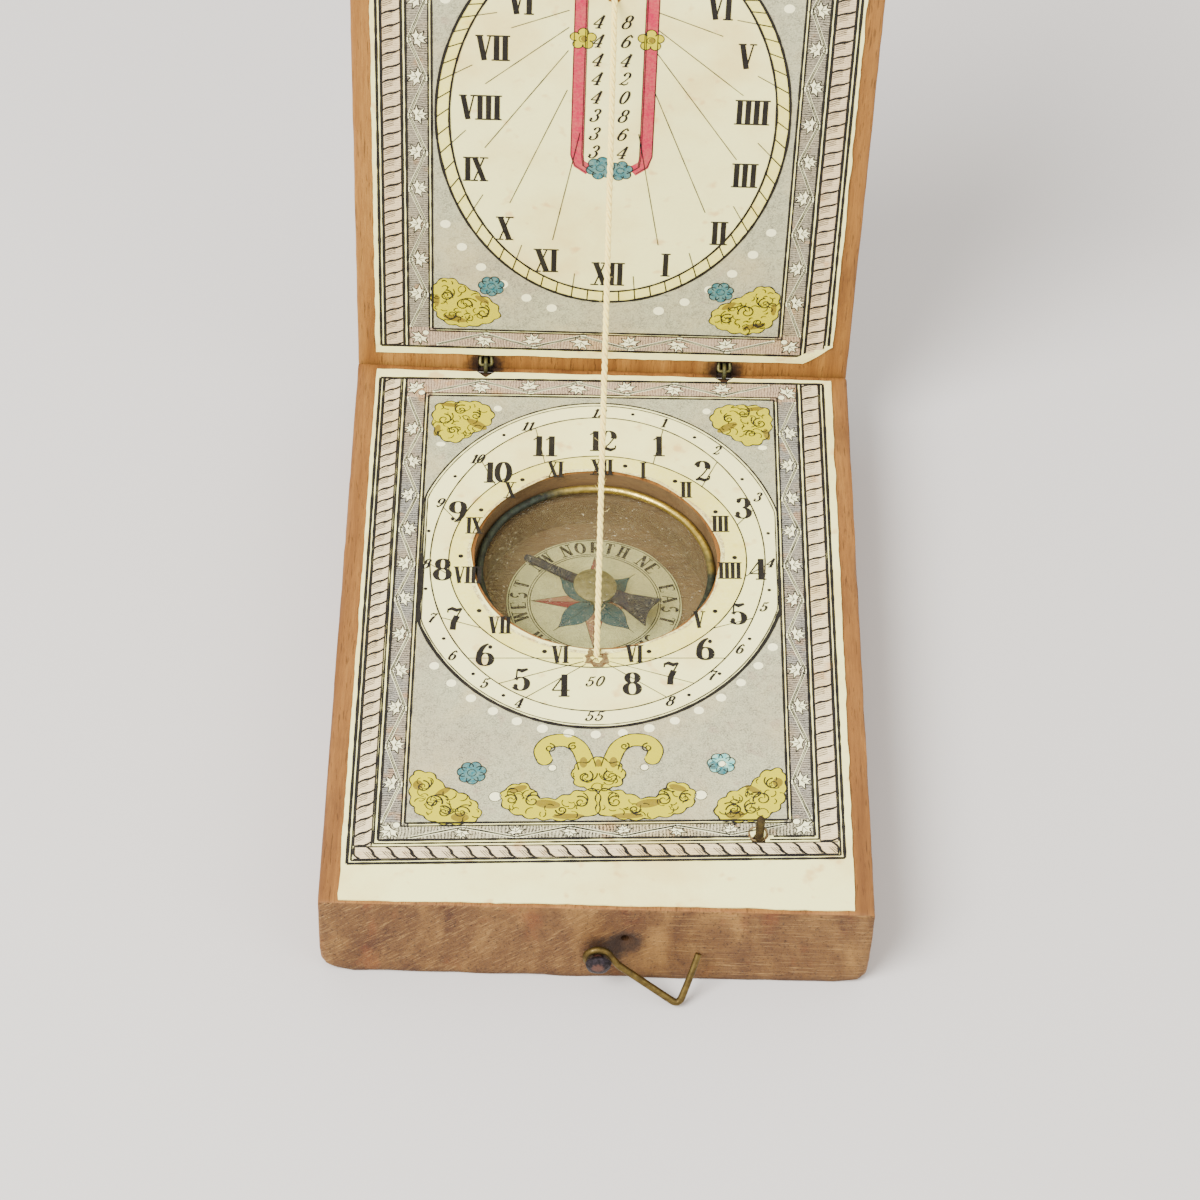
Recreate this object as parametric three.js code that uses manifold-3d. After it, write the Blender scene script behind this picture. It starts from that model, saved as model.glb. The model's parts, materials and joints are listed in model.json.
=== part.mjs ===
// Pocket sundial: two hinged wooden leaves lined with printed paper, a compass sunk in the lower
// leaf, and a thread strung between the leaves whose shadow tells the hour when the lid stands open.
// Units are millimetres. +Z is up, -Y is the front with the latch, and the origin is the middle of
// the underside. The lid stands open at 90 degrees behind the base.
import * as THREE from 'three';
import { mergeVertices } from 'three/addons/utils/BufferGeometryUtils.js';
import Module from 'manifold-3d';

const wasm = await Module();
wasm.setup();

// ---- driving dimensions ---------------------------------------------------------------------
const leafWidth = 54;
const leafLength = 76;
const baseThickness = 10.7;
const lidThickness = 6.7;
const cornerRadius = 0.9;
const edgeBevel = 0.35;
const leafGap = 0.5; // between the closed leaves, room for the two papers

const paperThickness = 0.15;
const glueGap = 0.02;
const paperLeft = -25;
const paperRight = 25.15;
const basePaperBackMargin = 1;
const basePaperFrontMargin = 0.4;
const lidPaperLowMargin = 1.45;
const lidPaperHighMargin = 0.4;

const latitudeDeg = 50;
const threadX = -0.3;
const threadRadius = 0.325;
const threadFootFromHinge = 43.1; // distance of the lower thread hole from the hinge line
const threadHoleRadius = 0.5;
const threadBendRadius = 1.3;
const knotRadius = 1.2;
const knotPocketRadius = 1.9;
const knotPocketDepth = 1.8;

const wellX = -0.5;
const wellY = 9.04;
const wellRadius = 12.8;
const wellDepth = 6.9;
const glassLedgeDepth = 3.3;
const wellFloorRadius = 12;
const glassThickness = 0.9;
const ringWireRadius = 0.45;
const roseRadius = 9.4;

const pivotHeight = 6.2; // needle's underside above the table
const needleHeadingDeg = 156;
const needleDipDeg = 6;
const needleArm = 8.3;
const needleThickness = 0.3;
const capRadius = 2.3;
const pinRadius = 0.4;

const hingeX = [-12.9, 13.4];
const hingeWireRadius = 0.22;
const hingeRingRadius = 0.85;
const hingeScoopRadius = 1.35;
const hingeScoopHalfWidth = 0.95;
const hingeLegSpread = 0.62;
const hingeShankLength = 6;

const nailX = 0.35;
const nailZ = 4.2;
const nailShankRadius = 0.5;
const nailHeadRadius = 1.25;
const hookWireRadius = 0.37;
const hookEyeRadius = 1.2;
const hookBend = new THREE.Vector3(8.0, -3.55, -3.72); // from the nail's axis at the base's face
const hookTip = new THREE.Vector3(9.75, -0.75, 0.9);
const latchHoleRadius = 0.6;
const latchHoleDepth = 3.2;

const pegX = 15.9;
const pegY = -28.8;
const pegRadius = 0.43;
const pegStandsUp = 3.2;
const pegSunk = 4;

const fitGap = 0.06; // round pieces pressed into round holes
const wellSides = 64;
const wireSides = 8;

// ---- derived places -------------------------------------------------------------------------
const baseTop = baseThickness;
const baseFront = -leafLength / 2;
const baseBack = leafLength / 2;
const hingeY = baseBack;
const hingeZ = baseTop + leafGap / 2;
const lidFaceY = leafGap / 2; // lid measures count from the hinge axis
const lidBackY = lidFaceY + lidThickness;
const threadFootY = baseBack - threadFootFromHinge;
const threadTopZ = baseTop + threadFootFromHinge * Math.tan(THREE.MathUtils.degToRad(latitudeDeg));
const threadTopInLid = threadTopZ - hingeZ;
const wellFloorZ = baseTop - wellDepth;
const ledgeZ = baseTop - glassLedgeDepth;
const paperTop = baseTop + glueGap + paperThickness;

// ---- solids ---------------------------------------------------------------------------------
function toSolid(geometry) {
  const bare = geometry.clone();
  bare.deleteAttribute('normal');
  bare.deleteAttribute('uv');
  const merged = mergeVertices(bare, 1e-4);
  return new wasm.Manifold(new wasm.Mesh({
    numProp: 3,
    vertProperties: Float32Array.from(merged.attributes.position.array),
    triVerts: Uint32Array.from(merged.index.array),
  }));
}

function toGeometry(solid) {
  const mesh = solid.getMesh();
  const geometry = new THREE.BufferGeometry();
  geometry.setAttribute('position', new THREE.BufferAttribute(new Float32Array(mesh.vertProperties), 3));
  geometry.setIndex(new THREE.BufferAttribute(new Uint32Array(mesh.triVerts), 1));
  geometry.computeVertexNormals();
  return geometry;
}

function cut(geometry, ...tools) {
  return toGeometry(tools.reduce((solid, tool) => solid.subtract(toSolid(tool)), toSolid(geometry)));
}

function block(x0, x1, y0, y1, z0, z1) {
  const box = new THREE.BoxGeometry(x1 - x0, y1 - y0, z1 - z0);
  return box.translate((x0 + x1) / 2, (y0 + y1) / 2, (z0 + z1) / 2);
}

// a round bar from one point to another, thicker or thinner at its end if asked
function bar(from, to, radius, endRadius = radius, sides = 24) {
  const along = to.clone().sub(from);
  const geometry = new THREE.CylinderGeometry(endRadius, radius, along.length(), sides);
  const turn = new THREE.Quaternion().setFromUnitVectors(new THREE.Vector3(0, 1, 0), along.clone().normalize());
  return geometry.applyQuaternion(turn).translate(...from.clone().add(to).multiplyScalar(0.5).toArray());
}

function uprightBar(x, y, z0, z1, radius, endRadius = radius, sides = 24) {
  return bar(new THREE.Vector3(x, y, z0), new THREE.Vector3(x, y, z1), radius, endRadius, sides);
}

// a wire along a path: a closed tube with flat ends
function wire(path, radius, steps, sides = wireSides) {
  const section = new THREE.Shape();
  for (let side = 0; side <= sides; side++) {
    const angle = (side / sides) * 2 * Math.PI;
    const place = [radius * Math.cos(angle), radius * Math.sin(angle)];
    if (side === 0) section.moveTo(...place);
    else section.lineTo(...place);
  }
  return new THREE.ExtrudeGeometry(section, { steps, bevelEnabled: false, extrudePath: path });
}

// a wooden leaf lying flat, its underside at z = 0, with rounded corners and eased edges
function leafBlank(thickness) {
  const halfW = leafWidth / 2;
  const halfL = leafLength / 2;
  const r = cornerRadius;
  const outline = new THREE.Shape();
  outline.moveTo(-halfW + r, -halfL);
  outline.lineTo(halfW - r, -halfL);
  outline.absarc(halfW - r, -halfL + r, r, -Math.PI / 2, 0);
  outline.lineTo(halfW, halfL - r);
  outline.absarc(halfW - r, halfL - r, r, 0, Math.PI / 2);
  outline.lineTo(-halfW + r, halfL);
  outline.absarc(-halfW + r, halfL - r, r, Math.PI / 2, Math.PI);
  outline.lineTo(-halfW, -halfL + r);
  outline.absarc(-halfW + r, -halfL + r, r, Math.PI, 1.5 * Math.PI);
  const blank = new THREE.ExtrudeGeometry(outline, {
    depth: thickness - 2 * edgeBevel,
    bevelThickness: edgeBevel,
    bevelSize: edgeBevel,
    bevelOffset: -edgeBevel,
    bevelSegments: 2,
    curveSegments: 4,
  });
  return blank.translate(0, 0, edgeBevel);
}

// the round scoop in both leaves that clears a hinge's wires, about the hinge axis
function hingeScoop(x, y, z) {
  const left = new THREE.Vector3(x - hingeScoopHalfWidth, y, z);
  const right = new THREE.Vector3(x + hingeScoopHalfWidth, y, z);
  return bar(left, right, hingeScoopRadius);
}

function hingeShankHole(x, y, z, side) {
  const away = new THREE.Vector3(0, side, side).normalize();
  const start = new THREE.Vector3(x, y, z);
  const end = start.clone().addScaledVector(away, hingeRingRadius + hingeShankLength + 0.3);
  return bar(start, end, hingeWireRadius + 0.1, hingeWireRadius + 0.1, 12);
}

// ---- materials ------------------------------------------------------------------------------
function finish(colour, roughness, metalness = 0, extra = {}) {
  return () => new THREE.MeshStandardMaterial({ color: colour, roughness, metalness, ...extra });
}

const wood = finish(0xb98a58, 0.6);
const printedPaper = finish(0xeee6c8, 0.85);
const brass = finish(0x8f8040, 0.4, 0.9);
const iron = finish(0x4a3a34, 0.6, 0.7);
const bluedSteel = finish(0x2e3440, 0.35, 0.8);
const glass = finish(0xe6f0ea, 0.05, 0, { transparent: true, opacity: 0.3 });
const cotton = finish(0xe8d8b4, 0.9);

// ---- base -----------------------------------------------------------------------------------
function baseLeaf() {
  const tools = [
    uprightBar(wellX, wellY, ledgeZ, baseTop + 1, wellRadius, wellRadius, wellSides),
    uprightBar(wellX, wellY, wellFloorZ, ledgeZ + 0.1, wellFloorRadius, wellFloorRadius, wellSides),
    uprightBar(wellX, wellY, 1.7, wellFloorZ + 0.1, pinRadius + fitGap),
    uprightBar(threadX, threadFootY, 1, baseTop + 1, threadHoleRadius),
    uprightBar(threadX, threadFootY, baseTop - 0.6, baseTop + 0.2, threadHoleRadius, threadHoleRadius + 0.35),
    uprightBar(threadX, threadFootY, -1, knotPocketDepth, knotPocketRadius),
    uprightBar(pegX, pegY, baseTop - pegSunk - 0.1, baseTop + 1, pegRadius + fitGap),
    bar(
      new THREE.Vector3(nailX, baseFront - 1, nailZ),
      new THREE.Vector3(nailX, baseFront + 7.2, nailZ),
      nailShankRadius + fitGap,
    ),
  ];
  for (const x of hingeX) {
    tools.push(hingeScoop(x, hingeY, hingeZ), hingeShankHole(x, hingeY, hingeZ, -1));
  }
  return cut(leafBlank(baseThickness), ...tools);
}

function basePaper() {
  const low = baseTop + glueGap;
  const back = baseBack - basePaperBackMargin;
  const sheet = block(paperLeft, paperRight, baseFront + basePaperFrontMargin, back, low, paperTop);
  return cut(
    sheet,
    uprightBar(wellX, wellY, low - 1, paperTop + 1, wellRadius + 0.1, wellRadius + 0.1, wellSides),
    uprightBar(threadX, threadFootY, low - 1, paperTop + 1, threadHoleRadius + 0.35),
    uprightBar(pegX, pegY, low - 1, paperTop + 1, pegRadius + fitGap),
    ...hingeX.map((x) => hingeScoop(x, hingeY, hingeZ)),
  );
}

function compassRose() {
  const low = wellFloorZ + glueGap;
  const disc = uprightBar(wellX, wellY, low, low + paperThickness, roseRadius, roseRadius, wellSides);
  return cut(disc, uprightBar(wellX, wellY, low - 1, low + 1, pinRadius + fitGap));
}

function pivotPin() {
  const point = pivotHeight - 0.25;
  const profile = [[0, 1.8], [pinRadius, 1.8], [pinRadius, point - 1.1], [0.06, point], [0, point]];
  const pin = new THREE.LatheGeometry(profile.map(([r, z]) => new THREE.Vector2(r, z)), 16);
  return pin.rotateX(Math.PI / 2).translate(wellX, wellY, 0);
}

function compassGlass() {
  const low = ledgeZ + glueGap;
  return uprightBar(wellX, wellY, low, low + glassThickness, wellRadius - 0.2, wellRadius - 0.2, wellSides);
}

// a split ring sprung into the well to hold the glass down
function glassRing() {
  const radius = wellRadius - ringWireRadius - 0.1;
  const splitDeg = 5;
  const path = new THREE.Curve();
  path.getPoint = (t) => {
    const angle = THREE.MathUtils.degToRad(-70 + splitDeg / 2 + t * (360 - splitDeg));
    const height = ledgeZ + glueGap + glassThickness + glueGap + ringWireRadius;
    return new THREE.Vector3(wellX + radius * Math.cos(angle), wellY + radius * Math.sin(angle), height);
  };
  return wire(path, ringWireRadius, 60, 8);
}

// ---- needle ---------------------------------------------------------------------------------
// a plain bar on one side and a broad arm ending in a crescent on the other
function compassNeedle() {
  const bore = 0.75;
  const boss = 1.3; // half width of the blade where the cap sits
  const outline = new THREE.Shape();
  outline.absarc(-needleArm + 0.42, 0, 0.42, Math.PI / 2, 1.5 * Math.PI, false);
  outline.lineTo(-1.3, -0.62);
  outline.quadraticCurveTo(0, -boss * 2 + 0.62, 1.3, -0.66);
  outline.lineTo(3.6, -0.95);
  outline.lineTo(6.9, -2.1);
  outline.quadraticCurveTo(5.9, 0, 6.9, 2.1);
  outline.lineTo(3.6, 0.95);
  outline.lineTo(1.3, 0.66);
  outline.quadraticCurveTo(0, boss * 2 - 0.62, -1.3, 0.62);
  const blade = new THREE.ExtrudeGeometry(outline, {
    depth: needleThickness, bevelEnabled: false, curveSegments: 12,
  });
  return cut(blade, uprightBar(0, 0, -1, 1, bore));
}

// a domed bearing cap with a cone-shaped seat underneath for the pin
function needleCap() {
  const seat = 0.35;
  const profile = [
    [0, seat], [0.45, -0.35], [0.62, -0.35], [0.62, needleThickness + 0.03], [capRadius, needleThickness + 0.03],
    [capRadius, needleThickness + 0.14], [capRadius * 0.8, 0.62], [capRadius * 0.45, 0.86], [0, 0.94],
  ];
  const cap = new THREE.LatheGeometry(profile.map(([r, z]) => new THREE.Vector2(r, z)), 32);
  return cap.rotateX(Math.PI / 2);
}

// ---- lid, counted from the hinge axis -------------------------------------------------------
function lidLeaf() {
  const blank = leafBlank(lidThickness).rotateX(-Math.PI / 2).translate(0, lidFaceY, leafLength / 2);
  const through = (radius, x, z, y0, y1, endRadius = radius) => bar(
    new THREE.Vector3(x, y0, z), new THREE.Vector3(x, y1, z), radius, endRadius,
  );
  const pegZ = hingeY - pegY;
  const tools = [
    through(threadHoleRadius, threadX, threadTopInLid, -1, lidBackY + 1),
    through(threadHoleRadius + 0.35, threadX, threadTopInLid, lidFaceY - 0.2, lidFaceY + 0.6, threadHoleRadius),
    through(pegRadius + 0.3, pegX, pegZ, -1, lidFaceY + pegStandsUp + 0.2),
    bar(
      new THREE.Vector3(nailX, lidFaceY + lidThickness / 2, leafLength + 1),
      new THREE.Vector3(nailX, lidFaceY + lidThickness / 2, leafLength - latchHoleDepth),
      latchHoleRadius,
    ),
  ];
  for (const x of hingeX) {
    tools.push(hingeScoop(x, 0, 0));
    for (const side of [-1, 1]) tools.push(hingeShankHole(x + side * hingeLegSpread, 0, 0, 1));
  }
  return cut(blank, ...tools);
}

function lidPaper() {
  const face = lidFaceY - glueGap;
  const top = leafLength - lidPaperHighMargin;
  const sheet = block(paperLeft, paperRight, face - paperThickness, face, lidPaperLowMargin, top);
  const through = (radius, x, z) => bar(new THREE.Vector3(x, -1, z), new THREE.Vector3(x, 1, z), radius);
  return cut(
    sheet,
    through(threadHoleRadius + 0.35, threadX, threadTopInLid),
    through(pegRadius + 0.3, pegX, hingeY - pegY),
  );
}

// ---- hinge wires ----------------------------------------------------------------------------
// an eye: a ring about the hinge axis, whose shank is driven into the base
function hingeEye() {
  const path = new THREE.CurvePath();
  const start = THREE.MathUtils.degToRad(225 + 24);
  const sweep = THREE.MathUtils.degToRad(360 - 24 - 8);
  const ring = new THREE.Curve();
  ring.getPoint = (t) => {
    const angle = start + t * sweep;
    return new THREE.Vector3(0, hingeRingRadius * Math.cos(angle), hingeRingRadius * Math.sin(angle));
  };
  const away = new THREE.Vector3(0, -1, -1).normalize();
  const leave = ring.getPoint(1);
  const turned = away.clone().multiplyScalar(hingeRingRadius + 0.55);
  const corner = away.clone().multiplyScalar(hingeRingRadius + 0.1);
  path.add(ring);
  path.add(new THREE.QuadraticBezierCurve3(leave, corner, turned));
  path.add(new THREE.LineCurve3(turned, away.clone().multiplyScalar(hingeRingRadius + hingeShankLength)));
  return wire(path, hingeWireRadius, 36, 6);
}

// a staple: its bar lies on the hinge axis inside the eye, and its two legs go into the lid
function hingeStaple() {
  const reach = new THREE.Vector3(0, 1, 1).normalize();
  const spread = hingeLegSpread;
  const bendAt = 0.3;
  const leg = (side, far) => new THREE.Vector3(side * spread, 0, 0).addScaledVector(reach, far);
  const path = new THREE.CurvePath();
  const end = hingeRingRadius + hingeShankLength;
  const inner = new THREE.Vector3(spread - bendAt, 0, 0);
  path.add(new THREE.LineCurve3(leg(-1, end), leg(-1, bendAt)));
  path.add(new THREE.QuadraticBezierCurve3(leg(-1, bendAt), leg(-1, 0), inner.clone().negate()));
  path.add(new THREE.LineCurve3(inner.clone().negate(), inner));
  path.add(new THREE.QuadraticBezierCurve3(inner, leg(1, 0), leg(1, bendAt)));
  path.add(new THREE.LineCurve3(leg(1, bendAt), leg(1, end)));
  return wire(path, hingeWireRadius, 44, 6);
}

// ---- thread ---------------------------------------------------------------------------------
// up out of the base's hole, at the latitude's slope to the lid, and straight through the lid
function gnomonThread() {
  const slope = Math.atan2(
    threadTopZ - baseTop,
    hingeY - threadFootY,
  );
  const place = (y, z) => new THREE.Vector3(threadX, y, z);
  const lowTurn = Math.PI / 2 - slope;
  const lowCentre = [threadFootY + threadBendRadius, baseTop - 0.3];
  const highCentre = [hingeY + 0.48, threadTopZ - threadBendRadius];
  const lowEnd = place(
    lowCentre[0] - threadBendRadius * Math.cos(lowTurn),
    lowCentre[1] + threadBendRadius * Math.sin(lowTurn),
  );
  const highStart = place(
    highCentre[0] - threadBendRadius * Math.sin(slope),
    highCentre[1] + threadBendRadius * Math.cos(slope),
  );
  const lowCorner = place(threadFootY, lowCentre[1] + threadBendRadius * Math.tan(lowTurn / 2));
  const highCorner = place(highCentre[0] - threadBendRadius * Math.tan(slope / 2), threadTopZ);
  const path = new THREE.CurvePath();
  const bottom = place(threadFootY, knotPocketDepth + 0.1);
  const lowStart = place(threadFootY, lowCentre[1]);
  const highEnd = place(highCentre[0], threadTopZ);
  path.add(new THREE.LineCurve3(bottom, lowStart));
  path.add(new THREE.QuadraticBezierCurve3(lowStart, lowCorner, lowEnd));
  path.add(new THREE.LineCurve3(lowEnd, highStart));
  path.add(new THREE.QuadraticBezierCurve3(highStart, highCorner, highEnd));
  path.add(new THREE.LineCurve3(highEnd, place(hingeY + lidBackY + 0.05, threadTopZ)));
  return wire(path, threadRadius, 80);
}

function knot() {
  return new THREE.SphereGeometry(knotRadius, 14, 10).scale(1, 1, 0.66);
}

// ---- latch, counted from the nail's axis at the base's front face ---------------------------
function latchNail() {
  const profile = [
    [0, -7], [nailShankRadius * 0.3, -6.9], [nailShankRadius, -6], [nailShankRadius, 1.42], [nailHeadRadius, 1.5],
    [nailHeadRadius, 1.85], [nailHeadRadius * 0.7, 2.15], [0, 2.25],
  ];
  const nail = new THREE.LatheGeometry(profile.map(([r, y]) => new THREE.Vector2(r, y)), 20);
  return nail.rotateX(Math.PI);
}

// an eye round the nail, a slanting shank, and a tip bent back towards the base
function latchHook() {
  const eyeY = -0.75;
  const leaveDeg = -20;
  const backward = new THREE.Curve();
  backward.getPoint = (t) => {
    const turn = 38 + (1 - t) * 285;
    const angle = THREE.MathUtils.degToRad(leaveDeg + turn);
    return new THREE.Vector3(hookEyeRadius * Math.cos(angle), eyeY - 0.12 * t, hookEyeRadius * Math.sin(angle));
  };
  const leave = backward.getPoint(1);
  const shankStart = new THREE.Vector3(2.0, -1.15, -0.72);
  const nearBend = hookBend.clone().lerp(shankStart, 0.14);
  const afterBend = hookBend.clone().lerp(hookTip, 0.2);
  const path = new THREE.CurvePath();
  path.add(backward);
  path.add(new THREE.QuadraticBezierCurve3(leave, new THREE.Vector3(1.5, -0.95, -0.2), shankStart));
  path.add(new THREE.LineCurve3(shankStart, nearBend));
  path.add(new THREE.QuadraticBezierCurve3(nearBend, hookBend, afterBend));
  path.add(new THREE.LineCurve3(afterBend, hookTip));
  return wire(path, hookWireRadius, 60);
}

// ---- assembly -------------------------------------------------------------------------------
function node(name, geometry, material, parent) {
  const mesh = new THREE.Mesh(geometry, material());
  mesh.name = name;
  parent.add(mesh);
  return mesh;
}

const sundial = new THREE.Group();

const base = new THREE.Group();
sundial.add(base);
node('base_leaf', baseLeaf(), wood, base);
node('base_paper', basePaper(), printedPaper, base);
node('compass_rose', compassRose(), printedPaper, base);
node('pivot_pin', pivotPin(), brass, base);
node('compass_glass', compassGlass(), glass, base);
node('glass_ring', glassRing(), brass, base);
node('locating_peg', uprightBar(pegX, pegY, baseTop - pegSunk, paperTop + pegStandsUp, pegRadius), brass, base);
node('gnomon_thread', gnomonThread(), cotton, base);
node('lower_knot', knot(), cotton, base).position.set(threadX, threadFootY, 0.92);

const lid = new THREE.Group();
lid.position.set(0, hingeY, hingeZ);
sundial.add(lid);
node('lid_leaf', lidLeaf(), wood, lid);
node('lid_paper', lidPaper(), printedPaper, lid);
const upperKnot = node('upper_knot', knot(), cotton, lid);
upperKnot.rotation.x = Math.PI / 2;
upperKnot.position.set(threadX, lidBackY + 1.15, threadTopInLid);

for (const [side, x] of [['left', hingeX[0]], ['right', hingeX[1]]]) {
  node(`base_eye_${side}`, hingeEye(), brass, base).position.set(x, hingeY, hingeZ);
  node(`lid_eye_${side}`, hingeStaple(), brass, lid).position.set(x, 0, 0);
}

const needle = new THREE.Group();
needle.position.set(wellX, wellY, pivotHeight);
needle.rotation.set(0, THREE.MathUtils.degToRad(needleDipDeg), THREE.MathUtils.degToRad(needleHeadingDeg - 180), 'ZYX');
sundial.add(needle);
node('compass_needle', compassNeedle(), bluedSteel, needle);
node('needle_cap', needleCap(), brass, needle);

const latch = new THREE.Group();
latch.position.set(nailX, baseFront, nailZ);
sundial.add(latch);
node('latch_nail', latchNail(), iron, latch);
node('latch_hook', latchHook(), brass, latch);

export default sundial;
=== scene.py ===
"""Pocket sundial: worn wooden leaves, hand-coloured printed papers, sunken compass, thread and wire hook."""
import json
import math
import random

import bpy
import bmesh
from mathutils import Matrix, Vector, noise


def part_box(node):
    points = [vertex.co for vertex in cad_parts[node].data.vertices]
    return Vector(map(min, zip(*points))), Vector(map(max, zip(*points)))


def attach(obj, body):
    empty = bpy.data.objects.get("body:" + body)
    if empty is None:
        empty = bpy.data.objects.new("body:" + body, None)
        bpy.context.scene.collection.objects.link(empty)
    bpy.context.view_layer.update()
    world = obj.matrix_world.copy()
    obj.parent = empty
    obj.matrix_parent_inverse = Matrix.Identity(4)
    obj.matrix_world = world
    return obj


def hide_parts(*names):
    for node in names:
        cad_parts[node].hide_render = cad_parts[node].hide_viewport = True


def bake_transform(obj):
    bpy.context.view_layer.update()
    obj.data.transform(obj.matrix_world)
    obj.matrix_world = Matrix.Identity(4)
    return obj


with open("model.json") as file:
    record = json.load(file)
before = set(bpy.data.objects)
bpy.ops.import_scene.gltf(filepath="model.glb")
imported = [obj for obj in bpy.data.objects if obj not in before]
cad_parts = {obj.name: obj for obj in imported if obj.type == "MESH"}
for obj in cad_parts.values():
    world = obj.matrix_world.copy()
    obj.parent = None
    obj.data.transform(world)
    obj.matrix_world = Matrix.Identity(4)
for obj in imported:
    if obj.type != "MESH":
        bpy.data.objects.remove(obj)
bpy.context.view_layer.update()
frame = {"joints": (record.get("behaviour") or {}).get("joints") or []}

MM = 0.001
ACROSS, BACK, UP = Vector((1, 0, 0)), Vector((0, 1, 0)), Vector((0, 0, 1))


# ---- places, in millimetres, read from the frame ---------------------------------------------
def corners_mm(node):
    low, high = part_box(node)
    return Vector(low) / MM, Vector(high) / MM


def middle_mm(node):
    low, high = corners_mm(node)
    return (low + high) / 2


def joint_place_mm(name):
    joint = next(j for j in frame["joints"] if j["name"] == name)
    return Vector(joint["pos_m"]) / MM


base_low, base_high = corners_mm("base_leaf")
lid_low, lid_high = corners_mm("lid_leaf")
base_paper_low, base_paper_high = corners_mm("base_paper")
lid_paper_low, lid_paper_high = corners_mm("lid_paper")
hinge = joint_place_mm("lid_hinge")
needle_pivot = joint_place_mm("needle_spin")
nail_axis = joint_place_mm("latch_swing")
peg_low, peg_high = corners_mm("locating_peg")
peg_mid = middle_mm("locating_peg")
glass_low, glass_high = corners_mm("compass_glass")
rose_low, rose_high = corners_mm("compass_rose")
thread_low, thread_high = corners_mm("gnomon_thread")
upper_knot_mid = middle_mm("upper_knot")
lower_knot_mid = middle_mm("lower_knot")
hinge_x = [middle_mm("base_eye_left").x, middle_mm("base_eye_right").x]

PAPER_TOP = base_paper_high.z
LID_PAPER_FACE = lid_paper_low.y
WELL = Vector((needle_pivot.x, needle_pivot.y, 0))
WELL_ALONG = WELL.y - hinge.y
PEG_ALONG = peg_mid.y - hinge.y
PEG_HOLE_HEIGHT = hinge.z - PEG_ALONG
THREAD_X = middle_mm("gnomon_thread").x
THREAD_TOP = upper_knot_mid.z

# Driving sizes that no box of the frame gives.
LATITUDE = math.radians(50)
THREAD_FOOT = base_high.y - 43.1
THREAD_HOLE_RADIUS = 0.5
KNOT_POCKET_RADIUS = 1.9
KNOT_POCKET_DEPTH = 1.8
WELL_RADIUS = 12.8
WELL_FLOOR_RADIUS = 12.0
WELL_DEPTH = 6.9
LEDGE_DEPTH = 3.3
HINGE_RING_RADIUS = 0.85
HINGE_WIRE_RADIUS = 0.22
HINGE_SHANK_END = 6.85
STAPLE_HALF_WIDTH = 0.62
SCOOP_RADIUS = 1.12
SCOOP_HALF_WIDTH = 0.85
LID_END_DROP = 1.5  # the lid's board reaches this much below its box, to fill the hinge line
SPARE_HOLE = Vector((2.9, base_low.y, 5.6))  # left by an older nail
HOOK_EYE_RADIUS = 1.2
HOOK_WIRE_RADIUS = 0.37
RING_WIRE_RADIUS = 0.43
PEG_RADIUS = 0.43


# ---- shader helpers --------------------------------------------------------------------------
class Wire:
    """A node's output, on which + - and * work as Math nodes."""

    def __init__(self, recipe, socket):
        self.recipe = recipe
        self.socket = socket

    def maths(self, operation, other=None, clamp=False):
        values = {0: self} if other is None else {0: self, 1: other}
        return self.recipe.node("ShaderNodeMath", {"operation": operation, "use_clamp": clamp}, values)

    def __add__(self, other):
        return self.maths("ADD", other)

    __radd__ = __add__

    def __sub__(self, other):
        return self.maths("SUBTRACT", other)

    def __rsub__(self, other):
        return self.recipe.node("ShaderNodeMath", {"operation": "SUBTRACT"}, {0: other, 1: self})

    def __mul__(self, other):
        return self.maths("MULTIPLY", other)

    __rmul__ = __mul__

    def clipped(self):
        return self.maths("ADD", 0.0, clamp=True)

    def size(self):
        return self.maths("ABSOLUTE")

    def step(self, low, high):
        """0 below low, 1 above high, smooth between."""
        settings = {"interpolation_type": "SMOOTHSTEP"}
        values = {"Value": self, "From Min": low, "From Max": high, "To Min": 0.0, "To Max": 1.0}
        return self.recipe.node("ShaderNodeMapRange", settings, values)


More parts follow.
